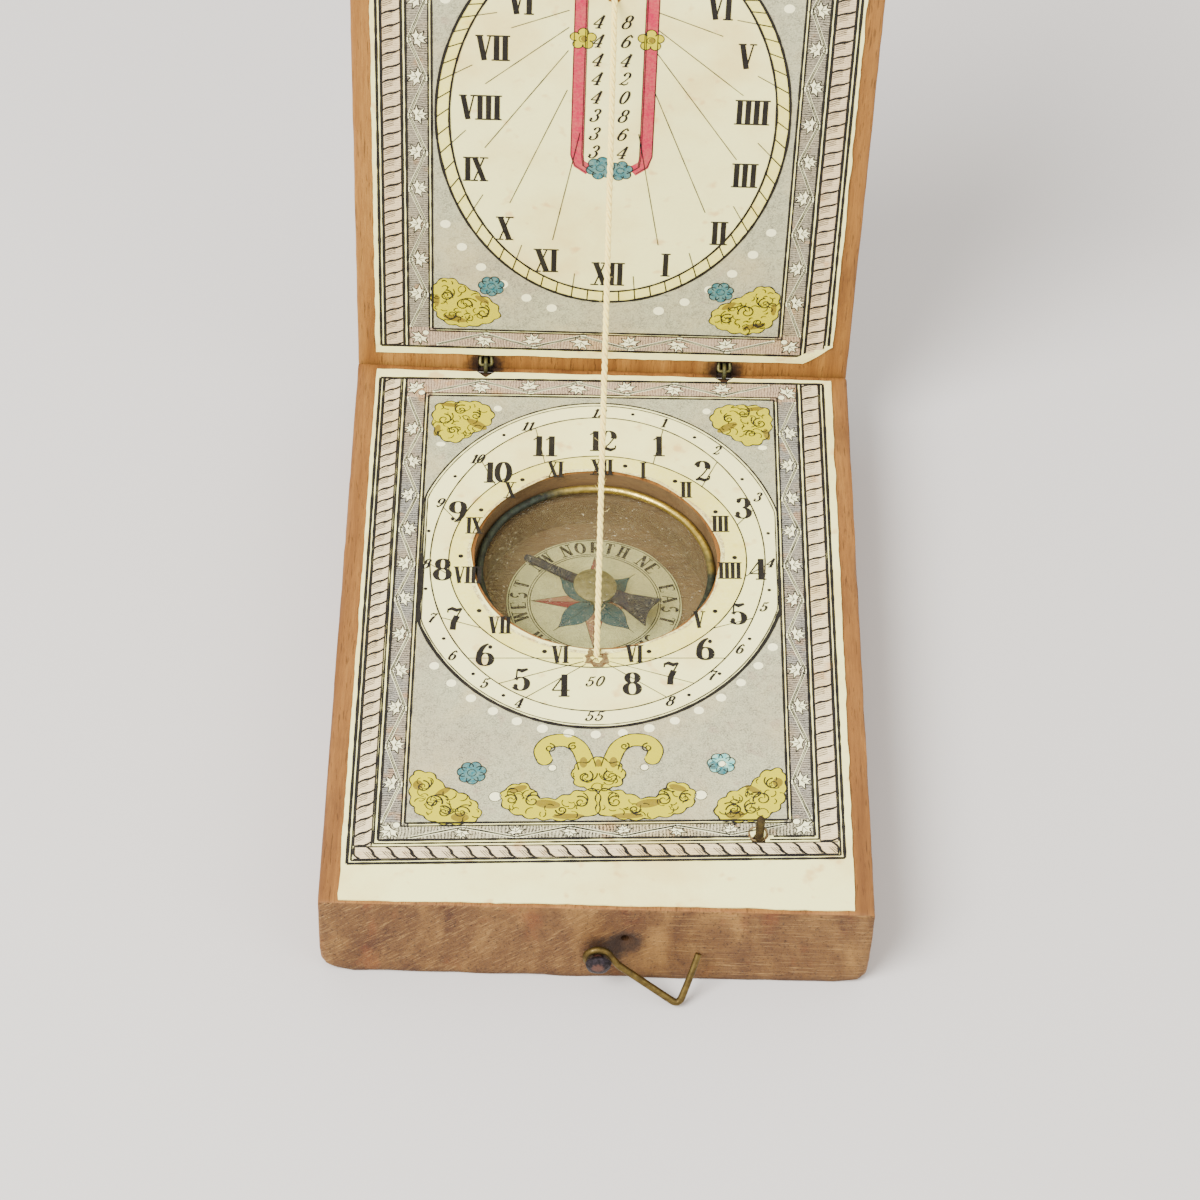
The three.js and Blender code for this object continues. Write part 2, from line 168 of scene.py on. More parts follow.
class Recipe:
    """One procedural material."""

    def __init__(self, name, **constants):
        self.material = bpy.data.materials.new(name)
        self.material.use_nodes = True
        self.tree = self.material.node_tree
        self.shader = self.tree.nodes["Principled BSDF"]
        for socket, value in constants.items():
            self.set(socket.replace("_", " ").title().replace("Ior", "IOR"), value)

    def feed(self, entry, value):
        if isinstance(value, Wire):
            self.tree.links.new(value.socket, entry)
        else:
            entry.default_value = value

    def set(self, socket, value):
        self.feed(self.shader.inputs[socket], value)

    def node(self, kind, settings=None, values=None, output=0):
        made = self.tree.nodes.new(kind)
        for name, setting in (settings or {}).items():
            if name == "stops":
                self.stops(made.color_ramp, setting)
            else:
                setattr(made, name, setting)
        for socket, value in (values or {}).items():
            self.feed(made.inputs[socket], value)
        return Wire(self, made.outputs[output])

    def stops(self, ramp, stops):
        while len(ramp.elements) < len(stops):
            ramp.elements.new(0.5)
        for element, (place, colour) in zip(ramp.elements, stops):
            element.position = place
            element.color = (*colour, 1)

    def place(self):
        """The point of the object in millimetres."""
        coords = self.node("ShaderNodeTexCoord", output=3)
        return self.node("ShaderNodeVectorMath", {"operation": "SCALE"}, {0: coords, "Scale": 1 / MM})

    def split(self, vector):
        first = self.node("ShaderNodeSeparateXYZ", None, {0: vector})
        return [Wire(self, out) for out in first.socket.node.outputs]

    def stretched(self, vector, factors):
        return self.node("ShaderNodeVectorMath", {"operation": "MULTIPLY"}, {0: vector, 1: factors})

    def noise(self, vector, scale, detail=3.0, roughness=0.55, distortion=0.0):
        values = {"Vector": vector, "Scale": scale, "Detail": detail}
        values |= {"Roughness": roughness, "Distortion": distortion}
        return self.node("ShaderNodeTexNoise", None, values)

    def ramp(self, factor, stops):
        return self.node("ShaderNodeValToRGB", {"stops": stops}, {"Fac": factor})

    def mix(self, factor, first, second):
        """The first colour, going over to the second as the factor rises to 1."""
        def full(colour):
            return colour if isinstance(colour, Wire) else (*colour, 1)

        values = {0: factor, 6: full(first), 7: full(second)}
        return self.node("ShaderNodeMix", {"data_type": "RGBA"}, values, output=2)

    def bump(self, height, distance, strength=1.0):
        values = {"Height": height, "Distance": distance, "Strength": strength}
        self.set("Normal", self.node("ShaderNodeBump", None, values))


def srgb(red, green, blue):
    """A colour given as 0 to 255 on a screen, as the linear values that shaders use."""
    shares = (red / 255, green / 255, blue / 255)
    return tuple(c / 12.92 if c < 0.0404 else ((c + 0.055) / 1.055) ** 2.4 for c in shares)


PAPER = srgb(252, 246, 166)
PAPER_DARK = srgb(218, 170, 78)
INK = srgb(17, 13, 11)


# ---- materials -------------------------------------------------------------------------------
def aged_paper(recipe, place, tint=PAPER):
    """The colour of old cream paper at a place: fibres, foxing and a few brown stains."""
    clouds = recipe.noise(place, 0.09, 4).step(0.42, 0.72)
    fibres = recipe.noise(place, 3.4, 4, 0.7)
    foxing = recipe.noise(place, 0.42, 2).step(0.60, 0.74)
    colour = recipe.mix(clouds * 0.42, tint, PAPER_DARK)
    colour = recipe.mix(foxing * 0.5, colour, srgb(214, 156, 90))
    return recipe.mix(fibres.step(0.35, 0.75) * 0.07, colour, srgb(180, 160, 120))


def make_paper():
    recipe = Recipe("old_paper", roughness=0.78, specular_ior_level=0.25)
    place = recipe.place()
    recipe.set("Base Color", aged_paper(recipe, place))
    fine = recipe.noise(place, 5.0, 5, 0.7)
    waves = recipe.noise(place, 0.16, 2)
    recipe.bump(fine * 0.02 + waves * 0.35, MM, 0.5)
    return recipe.material


def make_print(name, colour, cover=0.9, patch=0.5, worn=0.35, grain=4.0, ground=PAPER):
    """A colour printed or washed on paper, thin in patches."""
    recipe = Recipe(name, roughness=0.75, specular_ior_level=0.25)
    place = recipe.place()
    under = aged_paper(recipe, place, ground)
    patches = recipe.noise(place, patch, 3, 0.6).step(0.3, 0.7)
    specks = recipe.noise(place, grain, 3, 0.7).step(0.38, 0.62)
    amount = (cover - patches * worn * 0.5 - specks * worn * 0.5).clipped()
    recipe.set("Base Color", recipe.mix(amount, under, colour))
    return recipe.material


def make_hatched(name, colour, along, pitch=0.26, cover=0.62, ground=PAPER):
    """Fine engraved lines across a ground, seen as a grey tone. They step over the axis numbered along."""
    recipe = Recipe(name, roughness=0.78, specular_ior_level=0.25)
    place = recipe.place()
    under = aged_paper(recipe, place, ground)
    axis = recipe.split(place)[along]
    wobble = recipe.noise(place, 0.8, 2) * 0.5
    phase = (axis + wobble) * (2 * math.pi / pitch)
    lines = (phase.maths("SINE") * 0.5 + 0.5).step(0.2, 0.75)
    specks = recipe.noise(place, 6.5, 3, 0.75).step(0.36, 0.64)
    patches = recipe.noise(place, 0.25, 3).step(0.3, 0.75)
    amount = (lines * 0.45 + specks * 0.5) * (cover + 0.35 - patches * 0.25)
    recipe.set("Base Color", recipe.mix(amount.clipped(), under, colour))
    return recipe.material


def make_field():
    """The dials' grey ground: a cool stipple rubbed off in places."""
    recipe = Recipe("grey_ground", roughness=0.8, specular_ior_level=0.25)
    place = recipe.place()
    under = recipe.mix(0.68, aged_paper(recipe, place), srgb(142, 143, 136))
    stipple = recipe.noise(place, 6.5, 5, 0.85).step(0.42, 0.62)
    mottled = recipe.noise(place, 0.9, 5, 0.75).step(0.3, 0.72)
    warm = recipe.noise(place, 0.16, 4).step(0.45, 0.75)
    amount = stipple * (0.30 + mottled * 0.55)
    grey = recipe.mix(amount.clipped(), under, srgb(56, 54, 54))
    recipe.set("Base Color", recipe.mix(warm * 0.4, grey, srgb(206, 188, 132)))
    return recipe.material


def make_ink(name="printers_ink", fade=0.3):
    """Dry black ink, broken where the paper's fibres show through."""
    recipe = Recipe(name, roughness=0.7, specular_ior_level=0.25)
    place = recipe.place()
    breaks = recipe.noise(place, 7.0, 4, 0.8).step(0.55, 0.70)
    pale = recipe.noise(place, 0.5, 3).step(0.35, 0.75)
    amount = (breaks * fade + pale * fade * 0.25).clipped()
    recipe.set("Base Color", recipe.mix(amount, INK, srgb(98, 90, 72)))
    return recipe.material


def side_grain(recipe, place, along, light, dark, blush):
    """The colour of a flecked long face, with its fibres and flecks."""
    def run(across, lengthways):
        return tuple(lengthways if axis == along else across for axis in range(3))

    figure = recipe.noise(recipe.stretched(place, run(1.0, 0.05)), 0.38, 5, 0.6, 0.6)
    fibres = recipe.noise(recipe.stretched(place, run(5.0, 0.35)), 1.0, 4, 0.7)
    flecks = recipe.noise(recipe.stretched(place, run(4.0, 0.28)), 1.4, 2).step(0.60, 0.72)
    colour = recipe.ramp(figure, [(0.25, dark), (0.5, light), (0.75, blush)])
    colour = recipe.mix(fibres.step(0.3, 0.75) * 0.5, colour, dark)
    return recipe.mix(flecks * 0.6, colour, srgb(64, 38, 18)), fibres, flecks


def end_grain(recipe, place):
    """The colour of a sawn end: broad bands, saw marks that slant on the left, and pores."""
    x, _, z = recipe.split(place)
    broad = recipe.noise(recipe.stretched(place, (0.22, 1.0, 0.10)), 0.9, 4, 0.6, 0.5)
    colour = recipe.ramp(broad, [(0.30, srgb(66, 36, 17)), (0.5, srgb(101, 68, 33)), (0.7, srgb(136, 98, 48))])
    turned = {"Vector": place, "Angle": math.radians(38)}
    turned = recipe.node("ShaderNodeVectorRotate", {"rotation_type": "Y_AXIS"}, turned)
    slanting = recipe.noise(recipe.stretched(turned, (0.5, 1.0, 5.5)), 1.3, 4, 0.75)
    level = recipe.noise(recipe.stretched(place, (0.25, 1.0, 6.5)), 1.1, 4, 0.75)
    share = (recipe.noise(place, 0.09, 2) * 10 - x * 0.25 - 2.5).step(0, 5)
    marks = slanting * share + level * (1 - share)
    colour = recipe.mix(marks.step(0.52, 0.68) * 0.55, colour, srgb(172, 134, 78))
    colour = recipe.mix((1 - marks).step(0.54, 0.68) * 0.60, colour, srgb(64, 38, 20))
    pores = recipe.noise(place, 3.6, 4, 0.75).step(0.56, 0.70)
    colour = recipe.mix(pores * 0.75, colour, srgb(44, 26, 14))
    red = recipe.noise(recipe.stretched(place, (0.5, 1, 0.3)), 0.5, 3).step(0.55, 0.7)
    colour = recipe.mix(red * 0.35, colour, srgb(122, 62, 24))
    # Darker towards the bottom edge of the sawn end.
    colour = recipe.mix((1 - z.step(0.1, 1.2)) * 0.5, colour, srgb(44, 24, 12))
    return colour, marks, pores


def make_wood(name, along, light, dark, blush, spots=(), end_share=1.0):
    """Fruitwood with its grain along one axis. spots has (x, y, z, radius, depth) of each dark place."""
    recipe = Recipe(name, specular_ior_level=0.3)
    place = recipe.place()
    side, fibres, flecks = side_grain(recipe, place, along, light, dark, blush)
    end, marks, pores = end_grain(recipe, place)
    normal = recipe.node("ShaderNodeTexCoord", output=1)
    ends = recipe.split(normal)[along].size().step(0.55, 0.8)
    colour = recipe.mix(ends * end_share, side, end)
    stains = recipe.noise(place, 0.13, 4, 0.6).step(0.55, 0.8)
    colour = recipe.mix(stains * 0.45, colour, srgb(74, 44, 24))
    # Each spot darkens the wood round a place: painted shade in the hinge pits, stains round the nail holes, and
    # darker wood round the peg.
    for x, y, z, radius, depth in spots:
        middle = recipe.node("ShaderNodeVectorMath", {"operation": "SUBTRACT"}, {0: place, 1: (x, y, z)})
        reach = recipe.node("ShaderNodeVectorMath", {"operation": "LENGTH"}, {0: middle}, output=1)
        ragged = reach + (recipe.noise(place, 1.4, 3) - 0.5) * radius * 0.7
        dark_share = (1 - ragged.step(radius * 0.55, radius * 1.35)) * depth
        colour = recipe.mix(dark_share, colour, srgb(36, 22, 14))
    recipe.set("Base Color", colour)
    recipe.set("Roughness", 0.48 + fibres * 0.24)
    recipe.bump(fibres * 0.05 - flecks * 0.05 - pores * ends * 0.08 + marks * ends * 0.10, MM, 0.8)
    return recipe.material


def make_metal(name, bright, dull, spots, roughness=0.34, metal=0.95):
    """Drawn metal: bright, gone dull in clouds, with small dark pits."""
    recipe = Recipe(name)
    place = recipe.place()
    tarnish = recipe.noise(place, 1.3, 4, 0.65).step(0.32, 0.68)
    pits = recipe.noise(place, 6.0, 3, 0.7).step(0.58, 0.72)
    scratches = recipe.noise(recipe.stretched(place, (9, 2, 9)), 1.5, 3, 0.7)
    colour = recipe.mix(tarnish * 0.85, bright, dull)
    recipe.set("Base Color", recipe.mix(pits * 0.7, colour, spots))
    recipe.set("Metallic", metal - pits * 0.5)
    recipe.set("Roughness", roughness + tarnish * 0.22 + scratches * 0.08)
    recipe.bump(scratches * 0.01 - pits * 0.03, MM, 0.6)
    return recipe.material


def make_nail():
    """A dark iron head, rusty in the middle."""
    recipe = Recipe("rusty_iron", roughness=0.5)
    place = recipe.place()
    x, _, z = recipe.split(place)
    x, z = x - nail_axis.x, z - nail_axis.z
    rough = recipe.noise(place, 2.4, 4, 0.75)
    middle = 1 - ((x * x + z * z) + (rough - 0.5) * 1.2).step(0.05, 0.6)
    skin = recipe.mix(rough.step(0.35, 0.65), srgb(52, 44, 50), srgb(22, 17, 18))
    recipe.set("Base Color", recipe.mix(middle * 0.75, skin, srgb(84, 42, 18)))
    recipe.set("Metallic", 0.7 - middle * 0.6)
    recipe.set("Roughness", 0.38 + rough * 0.3)
    recipe.bump(rough * 0.12, MM, 0.8)
    return recipe.material


def make_ring_wire():
    """Brass wire, dark green with patina, with a painted highlight: gold, more metallic and glossier towards the
    back right.
    """
    recipe = Recipe("ring_wire", roughness=0.3)
    place = recipe.place()
    x, y, _ = recipe.split(place)
    # Painted highlight: the side towards the back right turns gold, metallic and glossy, where the light catches
    # the wire.
    highlight_side = (x - WELL.x) * 0.55 + (y - WELL.y) * 0.85
    bright = (highlight_side + recipe.noise(place, 0.5, 3) * 9 - 4.5).step(5.5, 11.5)
    patina = recipe.noise(place, 1.8, 4, 0.7).step(0.35, 0.65)
    green = recipe.mix(patina, srgb(44, 52, 40), srgb(24, 26, 18))
    highlight_gold = recipe.mix(patina * 0.5, srgb(206, 180, 92), srgb(110, 88, 36))
    recipe.set("Base Color", recipe.mix(bright, green, highlight_gold))
    recipe.set("Metallic", 0.35 + bright * 0.6)
    recipe.set("Roughness", 0.5 - bright * 0.24 + patina * 0.12)
    recipe.bump(patina * 0.02, MM, 0.6)
    return recipe.material


def make_glass():
    """Clear glass under a thin film of dust, which alone is seen."""
    recipe = Recipe("old_glass", ior=1.5)
    place = recipe.place()
    dust = recipe.noise(place, 1.6, 5, 0.75).step(0.5, 0.85)
    haze = recipe.noise(place, 0.2, 3).step(0.3, 0.8)
    specks = recipe.noise(place, 4.5, 2, 0.5).step(0.66, 0.74)
    film = recipe.mix(dust * 0.8, srgb(112, 104, 76), srgb(176, 164, 126))
    recipe.set("Base Color", recipe.mix(specks, film, srgb(226, 216, 180)))
    recipe.set("Alpha", (0.07 + dust * 0.20 + haze * 0.06 + specks * 0.24).clipped())
    recipe.set("Roughness", 0.04 + dust * 0.3)
    return recipe.material


def make_thread():
    recipe = Recipe("cotton_thread", roughness=0.9, sheen_weight=0.05)
    place = recipe.place()
    fuzz = recipe.noise(place, 9.0, 3, 0.7)
    grime = recipe.noise(place, 0.25, 3).step(0.4, 0.8)
    colour = recipe.mix(fuzz.step(0.35, 0.7) * 0.35, srgb(255, 236, 140), srgb(214, 170, 92))
    recipe.set("Base Color", recipe.mix(grime * 0.3, colour, srgb(206, 160, 88)))
    recipe.bump(fuzz * 0.04, MM, 0.8)
    return recipe.material


OLD_PAPER = make_paper()
INK_BLACK = make_ink()
INK_FINE = make_ink("fine_ink", 0.4)
GREY_GROUND = make_field()
RING_CREAM = make_print("ring_cream_wash", srgb(252, 246, 178), 0.85, worn=0.2)
RING_YELLOW = make_print("ring_yellow_wash", srgb(236, 222, 96), 0.8, worn=0.4)
YELLOW = make_print("yellow_wash", srgb(194, 182, 0), 1.0, 0.6, 0.02)
YELLOW_SHADE = make_print("yellow_shade", srgb(124, 106, 0), 1.0, 0.8, 0.05)
TEAL = make_print("teal_wash", srgb(0, 100, 112), 1.0, 2.2, 0.16)
TEAL_FAINT = make_print("teal_faint_wash", srgb(20, 168, 176), 0.95, 1.0, 0.35)
PINK = make_print("pink_wash", srgb(176, 2, 62), 1.0, 0.5, 0.10)
BARE_WHITE = make_print("bare_paper", srgb(252, 248, 200), 0.95, worn=0.05)
ROPE_PINK = make_hatched("rope_tint", srgb(90, 72, 62), 1, 0.30, 0.22, srgb(248, 226, 176))
ROPE_PINK_LID = make_hatched("rope_tint_lid", srgb(90, 72, 62), 2, 0.30, 0.25, srgb(238, 212, 164))
BAND_GREY = make_hatched("band_hatch", srgb(26, 25, 28), 1, 0.30, 0.78, srgb(168, 164, 150))
BAND_GREY_LID = make_hatched("band_hatch_lid", srgb(28, 26, 26), 2, 0.30, 0.72, srgb(176, 166, 140))
BAND_PINK = make_hatched("band_pink_hatch", srgb(48, 36, 38), 0, 0.30, 0.55, srgb(206, 178, 146))
BAND_UPRIGHT = make_hatched("band_upright_hatch", srgb(24, 23, 24), 0, 0.33, 0.85, srgb(220, 212, 172))
# Painted shade: a dark patch in the wood round each hinge eye stands in for the shade in the hinge pits.
HINGE_PIT_SHADE = [(x, hinge.y, hinge.z, 2.1, 0.97) for x in hinge_x]
BASE_WOOD = make_wood("base_fruitwood", 1, srgb(134, 88, 38), srgb(94, 56, 24), srgb(158, 110, 50), [
    (peg_mid.x, peg_mid.y, base_high.z, 1.5, 0.97),
    (nail_axis.x + 0.5, base_low.y, nail_axis.z + 0.3, 2.0, 0.8),
    (*SPARE_HOLE, 1.9, 0.85),
    *HINGE_PIT_SHADE,
])
LID_WOOD = make_wood("lid_fruitwood", 2, srgb(148, 100, 42), srgb(108, 66, 26), srgb(170, 122, 56), [
    *HINGE_PIT_SHADE,
    (THREAD_X, lid_high.y, THREAD_TOP, 1.4, 0.5),
])
WELL_WOOD = make_wood("well_wood", 0, srgb(110, 86, 54), srgb(84, 64, 40), srgb(124, 100, 66), end_share=0.0)
BRASS = make_metal("aged_brass", srgb(196, 176, 106), srgb(112, 98, 48), srgb(66, 54, 34))
RING_WIRE = make_ring_wire()
HOOK_WIRE = make_metal("hook_wire", srgb(108, 90, 46), srgb(70, 56, 28), srgb(38, 28, 15), 0.32, 0.9)
HINGE_WIRE = make_metal("hinge_wire", srgb(112, 104, 60), srgb(58, 62, 44), srgb(34, 34, 26), 0.4, 0.85)
PEG_WIRE = make_metal("peg_wire", srgb(78, 66, 40), srgb(46, 36, 22), srgb(26, 18, 10), 0.45, 0.8)
CAP_BRASS = make_metal("cap_brass", srgb(150, 140, 88), srgb(112, 104, 60), srgb(80, 70, 40), 0.42, 0.85)
IRON = make_nail()
BLUED = make_metal("blued_steel", srgb(34, 40, 66), srgb(30, 24, 38), srgb(14, 12, 18), 0.3, 0.7)
GLASS = make_glass()
THREAD = make_thread()
CARD = srgb(150, 148, 98)
ROSE_PAPER = make_print("rose_paper", CARD, 0.92, 0.5, 0.3)
ROSE_RED = make_print("rose_red", srgb(120, 34, 38), 1.0, 0.8, 0.1, ground=CARD)
ROSE_TEAL = make_print("rose_teal", srgb(20, 70, 74), 1.0, 0.8, 0.12, ground=CARD)
ROSE_PALE = make_print("rose_pale", srgb(128, 54, 50), 0.8, 0.8, 0.3, ground=CARD)
STAIN = make_print("brown_stain", srgb(120, 74, 36), 0.75, 1.2, 0.8)
THREAD_STAIN = make_print("rust_stain", srgb(78, 38, 12), 1.0, 2.2, 0.2)


# ---- mesh helpers ----------------------------------------------------------------------------
def in_scene(name, data):
    made = bpy.data.objects.new(name, data)
    bpy.context.scene.collection.objects.link(made)
    return made


def piece(name, points, faces, material, body, slot, smooth=True, sharp=None, replaces=None):
    """A mesh from points in millimetres, riding on a body. sharp is the least angle of a hard edge."""
    mesh = bpy.data.meshes.new(name)
    mesh.from_pydata([Vector(p) * MM for p in points], [], faces)
    mesh.materials.append(material)
    if smooth:
        mesh.shade_smooth()
    if sharp:
        mesh.set_sharp_from_angle(angle=math.radians(sharp))
    made = in_scene(name, mesh)
    if body:
        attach(made, body)
    if replaces:
        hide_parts(replaces)
    return made


def tube(path, radius, sides=12, closed=False, taper=None):
    """Points and faces of a wire along a path, its section carried along without twist."""
    path = [Vector(p) for p in path]
    count = len(path)
    points, faces = [], []
    across = None
    for i, here in enumerate(path):
        ahead = path[(i + 1) % count] if closed or i + 1 < count else here
        behind = path[i - 1] if closed or i else here
        along = (ahead - behind).normalized()
        if across is None:
            across = along.orthogonal().normalized()
        across = (across - along * across.dot(along)).normalized()
        other = along.cross(across)
        size = radius * (taper(i / (count - 1)) if taper else 1.0)
        for side in range(sides):
            angle = 2 * math.pi * side / sides
            points.append(here + across * (size * math.cos(angle)) + other * (size * math.sin(angle)))
    for i in range(count if closed else count - 1):
        ring, after = i * sides, ((i + 1) % count) * sides
        for side in range(sides):
            nxt = (side + 1) % sides
            faces.append((ring + side, ring + nxt, after + nxt, after + side))
    if not closed:
        faces.append(tuple(reversed(range(sides))))
        faces.append(tuple(range(len(points) - sides, len(points))))
    return points, faces


def joined(parts):
    """Several (points, faces) as one."""
    points, faces = [], []
    for more_points, more_faces in parts:
        start = len(points)
        points += more_points
        faces += [tuple(start + i for i in face) for face in more_faces]
    return points, faces


def lathe(profile, steps=48, centre=(0, 0, 0)):
    """A profile of (radius, height) turned about the vertical through a centre."""
    points, faces = [], []
    rings = []
    for radius, height in profile:
        if radius < 1e-6:
            rings.append([len(points)])
            points.append(Vector(centre) + Vector((0, 0, height)))
            continue
        rings.append(list(range(len(points), len(points) + steps)))
        for step in range(steps):
            angle = 2 * math.pi * step / steps
            offset = Vector((radius * math.cos(angle), radius * math.sin(angle), height))
            points.append(Vector(centre) + offset)
    for low, high in zip(rings, rings[1:]):
        for step in range(steps):
            nxt = (step + 1) % steps
            corners = [low[step % len(low)], low[nxt % len(low)], high[nxt % len(high)], high[step % len(high)]]
            face = tuple(dict.fromkeys(corners))
            if len(face) > 2:
                faces.append(face)
    return points, faces


# ---- camera ----------------------------------------------------------------------------------
CAMERA_DEGREES = (46.69, 1.30, 2.42)  # pitch down, yaw to the right and roll
CAMERA_FROM_HINGE = Vector((-6.12, -303.77, 285.26))  # from the hinge line, on the base's top
CAMERA_LENS = 113.0


def add_camera():
    pitch, yaw, roll = (math.radians(turn) for turn in CAMERA_DEGREES)
    forward = Vector((math.sin(yaw) * math.cos(pitch), math.cos(yaw) * math.cos(pitch), -math.sin(pitch)))
    level = Vector((math.cos(yaw), -math.sin(yaw), 0))
    above = level.cross(forward)
    right = level * math.cos(roll) + above * math.sin(roll)
    up = above * math.cos(roll) - level * math.sin(roll)
    camera = in_scene("camera", bpy.data.cameras.new("camera"))
    place = (CAMERA_FROM_HINGE + Vector((0, hinge.y, base_high.z))) * MM
    camera.matrix_world = Matrix.Translation(place) @ Matrix((right, up, -forward)).transposed().to_4x4()
    camera.data.lens = CAMERA_LENS
    camera.data.sensor_width = 36
    camera.data.clip_start = 0.01
    camera.data.clip_end = 20
    bpy.context.scene.camera = camera


# ---- thread ----------------------------------------------------------------------------------
THREAD_RADIUS = 0.325
BEND_RADIUS = 1.3
STRAIGHT_START, STRAIGHT_END = 6, -7  # the route's points at the ends of its straight stretch


def thread_route():
    """Up out of the base, at the latitude's slope to the lid, and through it, in millimetres."""
    slope = math.atan2(THREAD_TOP - base_high.z, hinge.y - THREAD_FOOT)
    low_turn = math.pi / 2 - slope
    low_y, low_z = THREAD_FOOT + BEND_RADIUS, base_high.z - 0.3
    high_y, high_z = hinge.y + 0.48, THREAD_TOP - BEND_RADIUS
    places = [(THREAD_FOOT, thread_low.z), (THREAD_FOOT, (thread_low.z + low_z) / 2)]
    for step in range(5):
        turn = low_turn * step / 4
        places.append((low_y - BEND_RADIUS * math.cos(turn), low_z + BEND_RADIUS * math.sin(turn)))
    start = Vector(places[-1])
    end = Vector((high_y - BEND_RADIUS * math.sin(slope), high_z + BEND_RADIUS * math.cos(slope)))
    places += [tuple(start.lerp(end, step / 12)) for step in range(1, 12)]
    for step in range(5):
        turn = slope * (1 - step / 4)
        places.append((high_y - BEND_RADIUS * math.sin(turn), high_z + BEND_RADIUS * math.cos(turn)))
    places += [(high_y + 3, THREAD_TOP), (thread_high.y, THREAD_TOP)]
    return [Vector((THREAD_X, y, z)) for y, z in places]


def resampled(route, spacing):
    """The same route with points a fixed distance apart."""
    lengths = [0.0]
    for a, b in zip(route, route[1:]):
        lengths.append(lengths[-1] + (b - a).length)
    count = int(lengths[-1] / spacing)
    found, leg = [], 0
    for i in range(count + 1):
        want = lengths[-1] * i / count
        while leg < len(route) - 2 and lengths[leg + 1] < want:
            leg += 1
        share = (want - lengths[leg]) / (lengths[leg + 1] - lengths[leg])
        found.append(route[leg].lerp(route[leg + 1], share))
    return found, lengths[-1]


def add_thread():
    route = thread_route()
    spacing = 0.16
    fine, length = resampled(route, spacing)
    sideways = Vector((1, 0, 0))
    strands, turn_length, strand_radius = 3, 2.3, 0.155
    off_centre = THREAD_RADIUS - strand_radius
    parts = []
    for strand in range(strands):
        line = []
        for i, here in enumerate(fine):
            along = (fine[min(i + 1, len(fine) - 1)] - fine[max(i - 1, 0)]).normalized()
            other = along.cross(sideways)
            turn = 2 * math.pi * (strand / strands - i * spacing / turn_length)
            line.append(here + (sideways * math.cos(turn) + other * math.sin(turn)) * off_centre)
        parts.append(tube(line, strand_radius, 8))
    made = piece("twisted_thread", *joined(parts), THREAD, None, "thread", replaces="gnomon_thread")
    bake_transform(made)
    length * MM
    [tuple(p * MM) for p in resampled(route, 0.8)[0]]
    add_fuzz(route)


def add_fuzz(route):
    """Loose fibres standing off the thread."""
    dice = random.Random(7)
    parts = []
    straight = route[STRAIGHT_START:STRAIGHT_END + 1]
    for _ in range(70):
        share = dice.random()
        leg = min(int(share * (len(straight) - 1)), len(straight) - 2)
        here = straight[leg].lerp(straight[leg + 1], share * (len(straight) - 1) - leg)
        along = (straight[leg + 1] - straight[leg]).normalized()
        away = Vector((dice.uniform(-1, 1), dice.uniform(-1, 1), dice.uniform(-1, 1)))
        away = (away - along * away.dot(along)).normalized()
        reach, drift = dice.uniform(0.25, 0.75), dice.uniform(-0.6, 0.6)
        line = [here + away * (0.2 + reach * t) + along * (drift * t * t) for t in (0, 0.35, 0.7, 1)]
        parts.append(tube(line, 0.012, 3))
    made = piece("thread_fuzz", *joined(parts), THREAD, None, "thread")
    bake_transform(made)


def knot_line(centre, across, up, size):
    """A thread's line through an overhand knot, flattened on its face."""
    line = []
    for i in range(73):
        t = 2 * math.pi * i / 72
        a = math.sin(t) + 2 * math.sin(2 * t)
        b = math.cos(t) - 2 * math.cos(2 * t)
        c = -math.sin(3 * t)
        line.append(centre + (across * a + across.cross(up) * b) * size * 0.30 + up * c * size * 0.34)
    return line


def add_knots():
    for name, body, centre, up in (
        ("lower_knot", "base", lower_knot_mid, Vector((0, 0, 1))),
        ("upper_knot", "lid", upper_knot_mid, Vector((0, 1, 0))),
    ):
        parts = [tube(knot_line(centre, Vector((1, 0, 0)), up, 0.82), 0.27, 8, closed=True)]
        piece("tied_" + name, *joined(parts), THREAD, body, "thread", replaces=name)


# ---- drawing on the papers -------------------------------------------------------------------
# Places on a leaf are (across, along) in millimetres from the middle of the hinge line, so along
# is negative on the base and positive on the lid.
PRINT_SLIP = 0.031  # the base's print lies a little out of square, more so at the front


def arc(x, y, wide, tall, start, end, count=None):
    """Points round part of an ellipse, by degrees."""
    count = count or max(6, int(abs(end - start) / 9))
    turns = [math.radians(start + (end - start) * i / count) for i in range(count + 1)]
    return [(x + wide * math.cos(t), y + tall * math.sin(t)) for t in turns]


